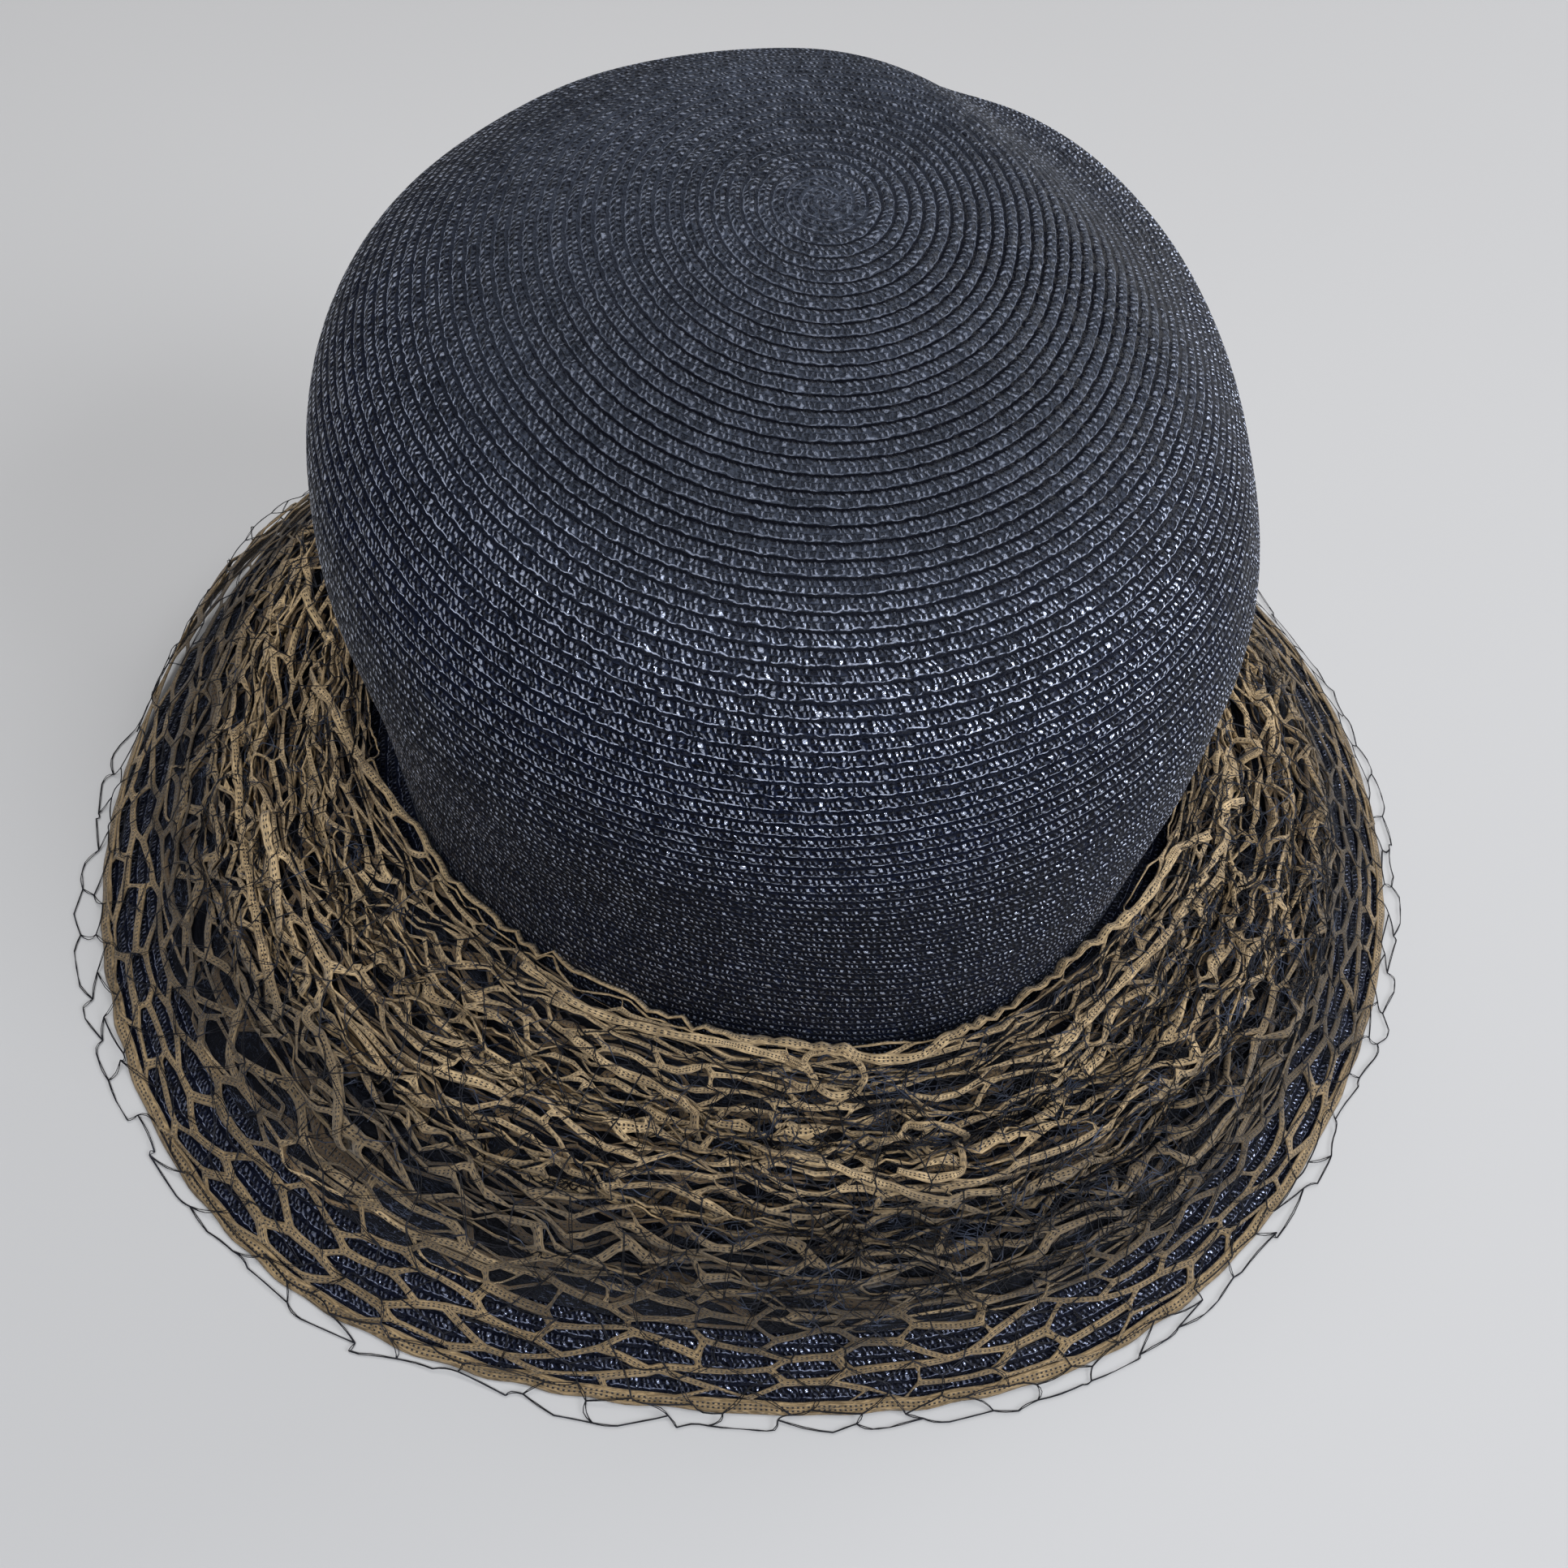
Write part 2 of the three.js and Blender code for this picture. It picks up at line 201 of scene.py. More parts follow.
@dataclass(frozen=True)
class Fold:
    """One gathered fold of lace, every 45 degrees from +X.

    Attributes:
        inner: Inner foot, as shares of the way out on the brim.
        outer: Outer foot, as shares of the way out.
        crest: Height of the crest above the brim in millimetres.
    """

    inner: Row
    outer: Row
    crest: Row


@dataclass(frozen=True)
class HatForm:
    """The surfaces that every piece of the hat is laid on, with the same values as the solids.

    Lengths are in millimetres.

    Attributes:
        half_width: Half width of the crown.
        half_front: Reach of the crown to the front.
        half_back: Reach of the crown to the back.
        tip_height: Height of the tip before the tilt and the dents.
        tip_tilt_deg: Forward tilt of the top in degrees.
        tilt_fades_at: Drop below the tip where the tilt ends.
        dents_fade_at: Drop below the tip where the dents end.
        shoulder_level: Drop below the tip where the plan of the shoulder counts most.
        shoulder_spread: Spread of that plan up and down.
        wall_starts: Drop where the plan of the wall begins.
        wall_full: Drop where it counts in full.
        base_height: Height of the head opening.
        seam_gap: Gap between crown and brim.
        straw_wall: Thickness of the straw.
        rim_centre: Middle of the rim's outline.
        rim_face_width: Width of the flat face under the rim.
        centring: From the crown's axis to the shared frame.
        puff_at: Angle in degrees where the lace is puffed up most.
        puff_spread: Spread of the puff in degrees.
        puff_height: Height of the puff.
        puff_out: Share of the way out where the puff is full, and where it has ended.
        puff_end: Share of the way out over which it ends.
        lift_at: Share of the way out where the normal for lace and veil is taken.
        step: Step for the normals, as an angle in radians and as a share.
        meridian_steps: Steps from one row of the profile to the next.
        profile: Meridian of the crown, reach as a share of the half width, and drop.
        shoulder_plan: How much wider the shoulder is, every 30 degrees.
        wall_plan: How much wider the wall is, every 30 degrees.
        dents: The dents and soft ridges of the top.
        rim_outline: Reach of the rim from its centre, every 30 degrees.
        brim_out: Shares of the way out where the height of the brim is given.
        brim_height: Height of the brim there, as a share of its height at the crown.
        ripples: Waves of the folds' crests, as count, share of the height, and turn.
        folds: The three folds from the crown out.
    """

    half_width: float = 89.3
    half_front: float = 99.3
    half_back: float = 92.4
    tip_height: float = 151.7
    tip_tilt_deg: float = 10.6
    tilt_fades_at: float = 91.0
    dents_fade_at: float = 61.0
    shoulder_level: float = 26.0
    shoulder_spread: float = 24.0
    wall_starts: float = 41.0
    wall_full: float = 88.0
    base_height: float = 24.0
    seam_gap: float = 0.3
    straw_wall: float = 2.0
    rim_centre: Pair = (2.9, 1.5)
    rim_face_width: float = 3.0
    centring: Triple = (-1.915, -1.920, 0.0)
    puff_at: float = 160.0
    puff_spread: float = 26.0
    puff_height: float = 9.0
    puff_out: Pair = (0.4, 1.04)
    puff_end: float = 0.1
    lift_at: float = 0.45
    step: float = 0.004
    meridian_steps: int = 40
    profile: tuple[Pair, ...] = (
        (0.0, 0.0), (0.2, 0.8), (0.4, 3.2), (0.58, 7.8), (0.75, 14.5), (0.87, 22.5), (0.955, 33.0),
        (1.0, 45.0), (1.02, 58.0), (1.01, 74.0), (0.99, 92.0), (0.965, 110.0), (0.945, 127.7),
    )
    shoulder_plan: Row = (
        -0.04, -0.045, -0.045, -0.1, -0.055, 0.035, 0.045, 0.02, 0.01, 0.01, 0.01, 0.005,
    )
    wall_plan: Row = (
        0.04, 0.025, 0.01, 0.0, -0.005, -0.015, -0.035, -0.04, -0.055, -0.035, 0.028, 0.032,
    )
    dents: tuple[Dent, ...] = (
        Dent(43, 38, -47, 62, 13, 5.0),
        Dent(27, 26, -47, 58, 10, -1.6),
        Dent(-70, 34, 70, 26, 12, 2.2),
    )
    rim_outline: Row = (
        148.5, 152.6, 153.0, 152.9, 152.1, 151.8, 150.5, 154.8, 158.7, 151.8, 152.7, 147.1,
    )
    brim_out: Row = (0.0, 0.1, 0.32, 0.56, 0.77, 0.92, 1.0, 1.1)
    brim_height: Row = (1.0, 0.91, 0.77, 0.57, 0.34, 0.13, 0.0, -0.1625)
    ripples: tuple[tuple[int, float, float], ...] = ((7, 0.05, 0.4), (12, 0.035, 2.1))
    folds: tuple[Fold, ...] = (
        Fold(
            (0.06, 0.05, 0.05, 0.05, 0.07, 0.05, 0.05, 0.07),
            (0.29, 0.26, 0.25, 0.26, 0.28, 0.26, 0.26, 0.3),
            (11.5, 11.0, 10.5, 11.0, 12.0, 12.5, 12.0, 12.5),
        ),
        Fold(
            (0.32, 0.29, 0.28, 0.29, 0.31, 0.29, 0.29, 0.33),
            (0.52, 0.49, 0.47, 0.47, 0.48, 0.47, 0.49, 0.53),
            (10.5, 9.5, 9.0, 9.0, 9.0, 9.5, 10.5, 11.5),
        ),
        Fold(
            (0.55, 0.52, 0.5, 0.5, 0.51, 0.5, 0.52, 0.56),
            (0.7, 0.68, 0.66, 0.64, 0.63, 0.64, 0.68, 0.7),
            (7.0, 6.0, 5.5, 5.0, 4.0, 4.5, 6.5, 7.5),
        ),
    )

    def meridian(self) -> tuple[Array, Array, Array]:
        """The crown's meridian from the tip down.

        Returns:
            Length along it in millimetres, reach from the axis, and drop below the tip.
        """
        points = np.array([(reach * self.half_width, drop) for reach, drop in self.profile])
        curve = along_points(points, self.meridian_steps)
        steps = np.linalg.norm(np.diff(curve, axis=0), axis=1)
        return np.concatenate([[0.0], np.cumsum(steps)]), curve[:, 0], curve[:, 1]

    def meridian_length(self) -> float:
        """Length of the meridian in millimetres."""
        return float(self.meridian()[0][-1])

    def crown(self, azimuth: Array, share: Array) -> Array:
        """Outer surface of the crown.

        Args:
            azimuth: Angles in radians.
            share: Shares of the way from the tip (0) to the head opening (1).

        Returns:
            Points in millimetres, one row each.
        """
        along, reaches, drops = self.meridian()
        at = np.clip(share, 0, 1) * along[-1]
        reach = np.interp(at, along, reaches)
        drop = np.interp(at, along, drops)
        near_shoulder = np.exp(-(((drop - self.shoulder_level) / self.shoulder_spread) ** 2))
        on_wall = np.clip((drop - self.wall_starts) / (self.wall_full - self.wall_starts), 0, 1)
        swell = 1 + read_round(self.shoulder_plan, azimuth) * near_shoulder
        swell = swell + read_round(self.wall_plan, azimuth) * on_wall
        half_depth = np.where(np.sin(azimuth) < 0, self.half_front, self.half_back)
        x = reach * swell * np.cos(azimuth)
        y = reach * swell * np.sin(azimuth) * half_depth / self.half_width
        tilt = math.tan(math.radians(self.tip_tilt_deg)) * np.maximum(0, 1 - drop / self.tilt_fades_at)
        top = np.maximum(0, 1 - drop / self.dents_fade_at)
        dented = sum(dent.depth_at(x, y) for dent in self.dents)
        return np.stack([x, y, self.tip_height - drop + y * tilt - dented * top], axis=-1)

    def brim(self, azimuth: Array, out: Array) -> Array:
        """Outer surface of the brim.

        Args:
            azimuth: Angles in radians.
            out: Shares of the way from the crown (0) to the rim (1).

        Returns:
            Points in millimetres, one row each.
        """
        opening = self.crown(azimuth, np.ones_like(azimuth))
        reach = read_round(self.rim_outline, azimuth)
        rim_x = self.rim_centre[0] + reach * np.cos(azimuth)
        rim_y = self.rim_centre[1] + reach * np.sin(azimuth)
        x = opening[..., 0] * (1 - out) + rim_x * out
        y = opening[..., 1] * (1 - out) + rim_y * out
        height = (self.base_height - self.seam_gap) * np.interp(out, self.brim_out, self.brim_height)
        return np.stack([x, y, height + 0 * x], axis=-1)

    def normals(self, surface: Surface, azimuth: Array, share: Array) -> Array:
        """Outward unit normals of a surface.

        Args:
            surface: The surface.
            azimuth: Angles in radians.
            share: Shares of the way down or out.

        Returns:
            One unit vector for each place.
        """
        low = np.maximum(share - self.step, 0)
        high = low + 2 * self.step
        around = surface(azimuth + self.step, share) - surface(azimuth - self.step, share)
        down = surface(azimuth, high) - surface(azimuth, low)
        normal = np.cross(down, around)
        return normal / np.maximum(np.linalg.norm(normal, axis=-1, keepdims=True), 1e-9)

    def off(self, surface: Surface, azimuth: Array, share: Array, distance: Array) -> Array:
        """Points that stand off a surface along its normal.

        Args:
            surface: The surface.
            azimuth: Angles in radians.
            share: Shares of the way down or out.
            distance: Distances in millimetres.

        Returns:
            Points in millimetres.
        """
        lifted = np.asarray(distance)[..., None] * self.normals(surface, azimuth, share)
        return surface(azimuth, share) + lifted

    def puff(self, azimuth: Array, out: Array) -> Array:
        """How much higher the lace stands where it is puffed up.

        Args:
            azimuth: Angles in radians.
            out: Shares of the way out.

        Returns:
            Heights in millimetres.
        """
        turn = (azimuth - math.radians(self.puff_at) + math.pi) % FULL_TURN - math.pi
        swell = np.exp(-((turn / math.radians(self.puff_spread)) ** 2))
        full, ended = self.puff_out
        fade = np.clip((ended - out) / self.puff_end, 0, 1)
        return self.puff_height * swell * np.clip(out / full, 0, 1) * fade

    def over_brim(self, azimuth: Array, out: Array, lift: Array) -> Array:
        """Points above the brim, where lace and veil lie.

        Args:
            azimuth: Angles in radians.
            out: Shares of the way out.
            lift: Heights above the brim along its normal, in millimetres.

        Returns:
            Points in millimetres.
        """
        lift = np.asarray(lift) + self.puff(azimuth, out)
        lifted = lift[..., None] * self.normals(self.brim, azimuth, np.full_like(out, self.lift_at))
        return self.brim(azimuth, out) + lifted

    def fold_crest(self, fold: Fold, azimuth: Array) -> Array:
        """Height of a fold's crest round the hat, in millimetres, with its ripples."""
        ripple = 1 + sum(share * np.sin(count * azimuth + turn) for count, share, turn in self.ripples)
        return read_round(fold.crest, azimuth) * ripple

    def place(self, points: Array) -> Array:
        """Brings points from millimetres about the crown's axis into the shared frame in metres."""
        return (points + np.asarray(self.centring)) * MM


# Shader building


@dataclass(frozen=True)
class Wire:
    """An output socket of a node, with the operators that add Math nodes.

    Attributes:
        kit: The material that is built.
        socket: The output socket.
    """

    kit: "NodeKit"
    socket: bpy.types.NodeSocket

    def _math(self, operation: str, *values: "Wire | float") -> "Wire":
        """Adds one Math node."""
        return self.kit.add("ShaderNodeMath", {"operation": operation}, *values)

    def __add__(self, other: "Wire | float") -> "Wire":
        """Sum."""
        return self._math("ADD", self, other)

    def __radd__(self, other: float) -> "Wire":
        """Sum with a number on the left."""
        return self._math("ADD", other, self)

    def __sub__(self, other: "Wire | float") -> "Wire":
        """Difference."""
        return self._math("SUBTRACT", self, other)

    def __rsub__(self, other: float) -> "Wire":
        """Difference from a number."""
        return self._math("SUBTRACT", other, self)

    def __mul__(self, other: "Wire | float") -> "Wire":
        """Product."""
        return self._math("MULTIPLY", self, other)

    def __rmul__(self, other: float) -> "Wire":
        """Product with a number on the left."""
        return self._math("MULTIPLY", other, self)

    def __truediv__(self, other: "Wire | float") -> "Wire":
        """Quotient."""
        return self._math("DIVIDE", self, other)

    def floor(self) -> "Wire":
        """Whole part."""
        return self._math("FLOOR", self)

    def fract(self) -> "Wire":
        """Part after the point."""
        return self._math("FRACT", self)

    def absolute(self) -> "Wire":
        """Value without its sign."""
        return self._math("ABSOLUTE", self)

    def at_most(self, other: "Wire | float") -> "Wire":
        """The smaller of two values."""
        return self._math("MINIMUM", self, other)

    def at_least(self, other: "Wire | float") -> "Wire":
        """The larger of two values."""
        return self._math("MAXIMUM", self, other)

    def ramp(self, low: float, high: float, start: float = 0.0, end: float = 1.0) -> "Wire":
        """Smooth step.

        Args:
            low: Value where the step starts.
            high: Value where it ends.
            start: Result at and before low.
            end: Result at and past high.

        Returns:
            The stepped value.
        """
        settings = {"interpolation_type": "SMOOTHSTEP"}
        return self.kit.add("ShaderNodeMapRange", settings, self, low, high, start, end)


class NodeKit:
    """Builds one material's nodes from expressions."""

    def __init__(self, name: str) -> None:
        """Starts a material with an empty tree.

        Args:
            name: Name of the material.
        """
        self.material = bpy.data.materials.new(name)
        self.material.use_nodes = True
        self.nodes = self.material.node_tree.nodes
        self.links = self.material.node_tree.links
        self.nodes.clear()

    def add(self, kind: str, settings: dict | None = None, *values: object, output: int | str = 0) -> Wire:
        """Adds a node.

        Args:
            kind: Type of the node.
            settings: Its properties, which are set first.
            values: Values or wires of its inputs in order; None leaves one as it is.
            output: Name or number of the output.

        Returns:
            That output.
        """
        node = self.nodes.new(kind)
        for key, value in (settings or {}).items():
            setattr(node, key, value)
        for socket, value in zip(node.inputs, values):
            self.feed(socket, value)
        return Wire(self, node.outputs[output])

    def feed(self, socket: bpy.types.NodeSocket, value: object) -> None:
        """Sets or links one input.

        Args:
            socket: The input.
            value: A number, a tuple, a wire, or None.
        """
        if isinstance(value, Wire):
            self.links.new(value.socket, socket)
        elif value is not None:
            socket.default_value = value

    def colours(self, factor: Wire | float, dark: object, light: object) -> Wire:
        """Mixes two colours.

        Args:
            factor: 0 for the first colour, 1 for the second.
            dark: First colour, or a wire.
            light: Second colour, or a wire.

        Returns:
            The mixed colour.
        """
        node = self.nodes.new("ShaderNodeMix")
        node.data_type = "RGBA"
        # By number, because a Mix node has inputs of the same names for other kinds of value.
        first, second = node.inputs[6], node.inputs[7]
        self.feed(node.inputs[0], factor)
        self.feed(first, rgba(dark))
        self.feed(second, rgba(light))
        return Wire(self, node.outputs[2])

    def uv(self) -> tuple[Wire, Wire]:
        """Reads the piece's own UV map.

        Returns:
            Its two coordinates.
        """
        place = self.add("ShaderNodeTexCoord", output="UV")
        split = self.nodes.new("ShaderNodeSeparateXYZ")
        self.feed(split.inputs[0], place)
        return Wire(self, split.outputs[0]), Wire(self, split.outputs[1])

    def flat_place(self) -> Wire:
        """Place on the floor under each point, in metres."""
        place = self.add("ShaderNodeTexCoord", output="Object")
        return self.add("ShaderNodeVectorMath", {"operation": "MULTIPLY"}, place, (1.0, 1.0, 0.0))

    def along(self, x: float, y: float) -> Wire:
        """Distance of each point along a direction on the floor.

        Args:
            x: First part of the direction.
            y: Second part of it.

        Returns:
            The distance in metres.
        """
        place = self.add("ShaderNodeTexCoord", output="Object")
        return self.add(
            "ShaderNodeVectorMath", {"operation": "DOT_PRODUCT"}, place, (x, y, 0.0), output="Value"
        )

    def noise(self, scale: float, detail: float = 2.0, vector: Wire | None = None) -> Wire:
        """Cloudy value between 0 and 1.

        Args:
            scale: Clouds to the metre, or to the unit of the vector.
            detail: Octaves.
            vector: Where it is read; object coordinates if left out.

        Returns:
            The noise.
        """
        place = vector or self.add("ShaderNodeTexCoord", output="Object")
        return self.add("ShaderNodeTexNoise", None, place, None, scale, detail)

    def speckle(self, x: Wire, y: Wire) -> Wire:
        """One random value between 0 and 1 for each whole pair of numbers."""
        cell = self.add("ShaderNodeCombineXYZ", None, x, y, 0.0)
        return self.add("ShaderNodeTexWhiteNoise", {"noise_dimensions": "2D"}, cell)

    def bump(self, height: Wire, distance: float, strength: float = 1.0) -> Wire:
        """Normal that follows a height.

        Args:
            height: Height between 0 and 1.
            distance: Depth in metres.
            strength: Strength of the relief.

        Returns:
            The normal.
        """
        node = self.nodes.new("ShaderNodeBump")
        node.inputs["Strength"].default_value = strength
        node.inputs["Distance"].default_value = distance
        self.feed(node.inputs["Height"], height)
        return Wire(self, node.outputs[0])

    def surface(self, **sockets: object) -> Finish:
        """Ends the material in a Principled shader.

        Args:
            sockets: Input names, with underscores for spaces, and their values or wires.

        Returns:
            The finished material.
        """
        shader = self.nodes.new("ShaderNodeBsdfPrincipled")
        for name, value in sockets.items():
            self.feed(shader.inputs[name.replace("_", " ")], value)
        end = self.nodes.new("ShaderNodeOutputMaterial")
        self.links.new(shader.outputs[0], end.inputs[0])
        return self.material


def rgba(colour: object) -> object:
    """Adds the alpha to a colour.

    Args:
        colour: Three numbers, or a wire.

    Returns:
        Four numbers, or the wire as it is.
    """
    if isinstance(colour, tuple) and len(colour) == 3:
        return (*colour, 1.0)
    return colour


def dimmed(colour: Triple, share: float) -> Triple:
    """A colour times a number."""
    return tuple(share * part for part in colour)


# Finishes. Bare numbers in their expressions are shares of a mix, between 0 and 1.


@dataclass(frozen=True)
class StrawBraid:
    """Shiny synthetic straw braid, sewn row by row.

    Its UV map gives stitches along a row and rows across.

    Attributes:
        name: Name of the material.
        gap: Colour of the grooves and of the holes between loops, painted shade.
        strand: Colour of the straw.
        glint: Colour of the bright loops.
        roughness: Roughness of the straw.
        loop_roughness: Roughness of the loops.
        top_glint: Strength of the glints in the first rows, where 1 is that of the last rows.
        top_sheen_strand: Colour of the straw in the first rows, lighter with a painted sheen.
        wall_rows: Rows where the painted sheen of the top ends, and where the shiny straw begins.
        groove_shade_heading: Direction on the floor in which the top's grooves and their painted shade
            fade.
        groove_shade_zone: Distances that way, in metres, where their grooves begin and end to fade.
        groove_shade_loss: How much of the grooves and their painted shade is gone there.
        bend: Clouds to the metre that bend the rows, and how far, in rows.
        drift: Clouds to the metre that shift the stitches, and how far, in stitches.
        button_rows: Rows where the plain button at the tip ends, and where the braid begins.
        groove_at: Where across a row its groove lies.
        groove_edge: Distances from there, in rows, between which the groove ends.
        scallop: How far each stitch pushes the groove, in rows.
        thread_at: Where across a row the sewing thread lies.
        thread_edge: Distances from there, in rows, between which the thread ends.
        stitch_rows: Where across a row its two lines of stitches lie.
        sway: How far a stitch leans at random, in stitches.
        lean: Leaning of a hole and of a glint, in stitches to the row.
        clouds: Clouds to the metre in the broken thread, the grain and the broad patches.
        relief: Depth of the relief in metres.
    """

    name: str
    gap: Triple = (0.0008, 0.001, 0.003)
    strand: Triple = (0.0045, 0.007, 0.018)
    glint: Triple = (0.76, 0.82, 1.0)
    roughness: float = 0.42
    loop_roughness: float = 0.2
    top_glint: float = 0.22
    top_sheen_strand: Triple = (0.031, 0.036, 0.049)
    wall_rows: Pair = (20.0, 40.0)
    groove_shade_heading: Pair = (-0.55, 0.8)
    groove_shade_zone: Pair = (-0.03, 0.03)
    groove_shade_loss: float = 0.8
    bend: Pair = (520.0, 0.22)
    drift: Pair = (330.0, 2.4)
    button_rows: Pair = (2.9, 3.5)
    groove_at: float = 0.02
    groove_edge: Pair = (0.11, 0.26)
    scallop: float = 0.2
    thread_at: float = 0.94
    thread_edge: Pair = (0.015, 0.05)
    stitch_rows: Pair = (0.37, 0.74)
    sway: float = 0.34
    lean: Pair = (0.9, 1.1)
    clouds: Triple = (1300.0, 2600.0, 55.0)
    relief: float = 0.0006

    def build(self) -> Finish:
        """Makes the material.

        Returns:
            The material.
        """
        kit = NodeKit(self.name)
        thread_clouds, grain_clouds, broad_clouds = self.clouds
        along, rows = kit.uv()
        wall = rows.ramp(*self.wall_rows)
        wobble = kit.noise(self.bend[0], 2.0)
        rows = rows + (wobble - 0.5) * self.bend[1]
        row = rows.floor()
        place = along + kit.speckle(row, row) + (kit.noise(self.drift[0], 2.0) - 0.5) * self.drift[1]
        v = rows.fract()
        button = rows.ramp(*self.button_rows, 1.0, 0.0)
        scallop = (place.fract() - 0.5).absolute() * self.scallop
        # The groove's dark colour is painted shade under the step of each row.
        groove = (v - scallop - self.groove_at).absolute().ramp(*self.groove_edge, 1.0, 0.0)
        groove = groove * (1 - button * 0.85)
        # Towards the back of the top the grooves grow shallower, their painted shade fades and the holes'
        # painted shade grows.
        faded_groove_shade = kit.along(*self.groove_shade_heading).ramp(*self.groove_shade_zone) * (1 - wall)
        groove = groove * (1 - wall * 0.45) * (1 - faded_groove_shade * self.groove_shade_loss)
        broken = kit.noise(thread_clouds, 1.0).ramp(0.38, 0.6)
        thread = (v - self.thread_at + (wobble - 0.5) * 0.3).absolute().ramp(*self.thread_edge, 1.0, 0.0)
        thread = thread * broken * (wall * 0.5 + 0.1)
        low, high = self.stitch_rows
        lower_hole, lower_glint, lower_chance = self._stitches(kit, place, row, v, low)
        # Another stitch and another row number make the upper line's chances its own.
        upper_hole, upper_glint, upper_chance = self._stitches(kit, place + 0.5, row + 40.0, v, high)
        hole = lower_hole.at_least(upper_hole)
        grain = kit.noise(grain_clouds, 1.0)
        glint = (lower_glint * lower_chance).at_least(upper_glint * upper_chance) * (1 - button * 0.6)
        glint = glint * grain.ramp(0.25, 0.6, 0.35, 1.0)
        glint = glint * wall.ramp(0.0, 1.0, self.top_glint, 1.0)
        broad = kit.noise(broad_clouds, 3.0)
        mixed = broad.ramp(0.3, 0.75) * 0.3 + grain.ramp(0.3, 0.7) * 0.5
        mixed = mixed + lower_chance * upper_chance * 0.2
        shiny = kit.colours(mixed, dimmed(self.strand, 0.3), dimmed(self.strand, 1.9))
        # The first rows get a lighter colour, a painted sheen on the top of the crown.
        painted_sheen_top = kit.colours(mixed, dimmed(self.top_sheen_strand, 0.4), dimmed(self.top_sheen_strand, 1.5))
        shade = kit.colours(wall, painted_sheen_top, shiny)
        # Holes and grooves take the gap colour, which is painted shade.
        pits = hole * (wall * 0.4 + faded_groove_shade * 0.25 + 0.5)
        colour = kit.colours((groove + pits).at_most(0.97), shade, self.gap)
        colour = kit.colours(thread, colour, self.glint)
        colour = kit.colours(glint * 0.9, colour, self.glint)
        tilt = (place.fract() - 0.5) * (lower_chance - 0.5) + (v - 0.5) * (upper_chance - 0.5)
        height = (1 - hole) * 0.45 + tilt * 0.9 + (1 - groove) * 0.3 + grain * 0.2
        return kit.surface(
            Base_Color=colour,
            Roughness=glint.ramp(0.0, 1.0, self.roughness, self.loop_roughness),
            Metallic=glint * 0.92,
            Normal=kit.bump(height, self.relief),
            Specular_IOR_Level=0.06,
            Sheen_Weight=0.03,
            Sheen_Roughness=0.4,
        )

    def _stitches(
        self, kit: NodeKit, place: Wire, row: Wire, v: Wire, middle: float
    ) -> tuple[Wire, Wire, Wire]:
        """One line of stitches along a row.

        Args:
            kit: The material that is built.
            place: Stitches along the row.
            row: Number of the row.
            v: Way across the row, from 0 to 1.
            middle: Where across the row the line of stitches lies.

        Returns:
            The small gaps between loops, the bright crowns of loops, and how bright each one is.
        """
        stitch = place.floor()
        u = place.fract()
        chance = kit.speckle(stitch, row)
        hole_at, glint_at = 0.42, 0.8
        hole_lean, glint_lean = self.lean
        sway = (kit.speckle(row, stitch) - 0.5) * self.sway
        rise = v - middle + (kit.speckle(stitch + 7.0, row) - 0.5) * 0.1
        slope = (u - hole_at + sway).absolute() + rise * hole_lean
        hole = slope.ramp(0.2, 0.32, 1.0, 0.0) * rise.absolute().ramp(0.1, 0.17, 1.0, 0.0)
        slant = (u - glint_at + sway - rise * glint_lean).absolute()
        glint = slant.ramp(0.12, 0.23, 1.0, 0.0) * (rise - 0.02).absolute().ramp(0.1, 0.18, 1.0, 0.0)
        return hole, glint, chance.ramp(0.05, 0.8, 0.06, 1.0)


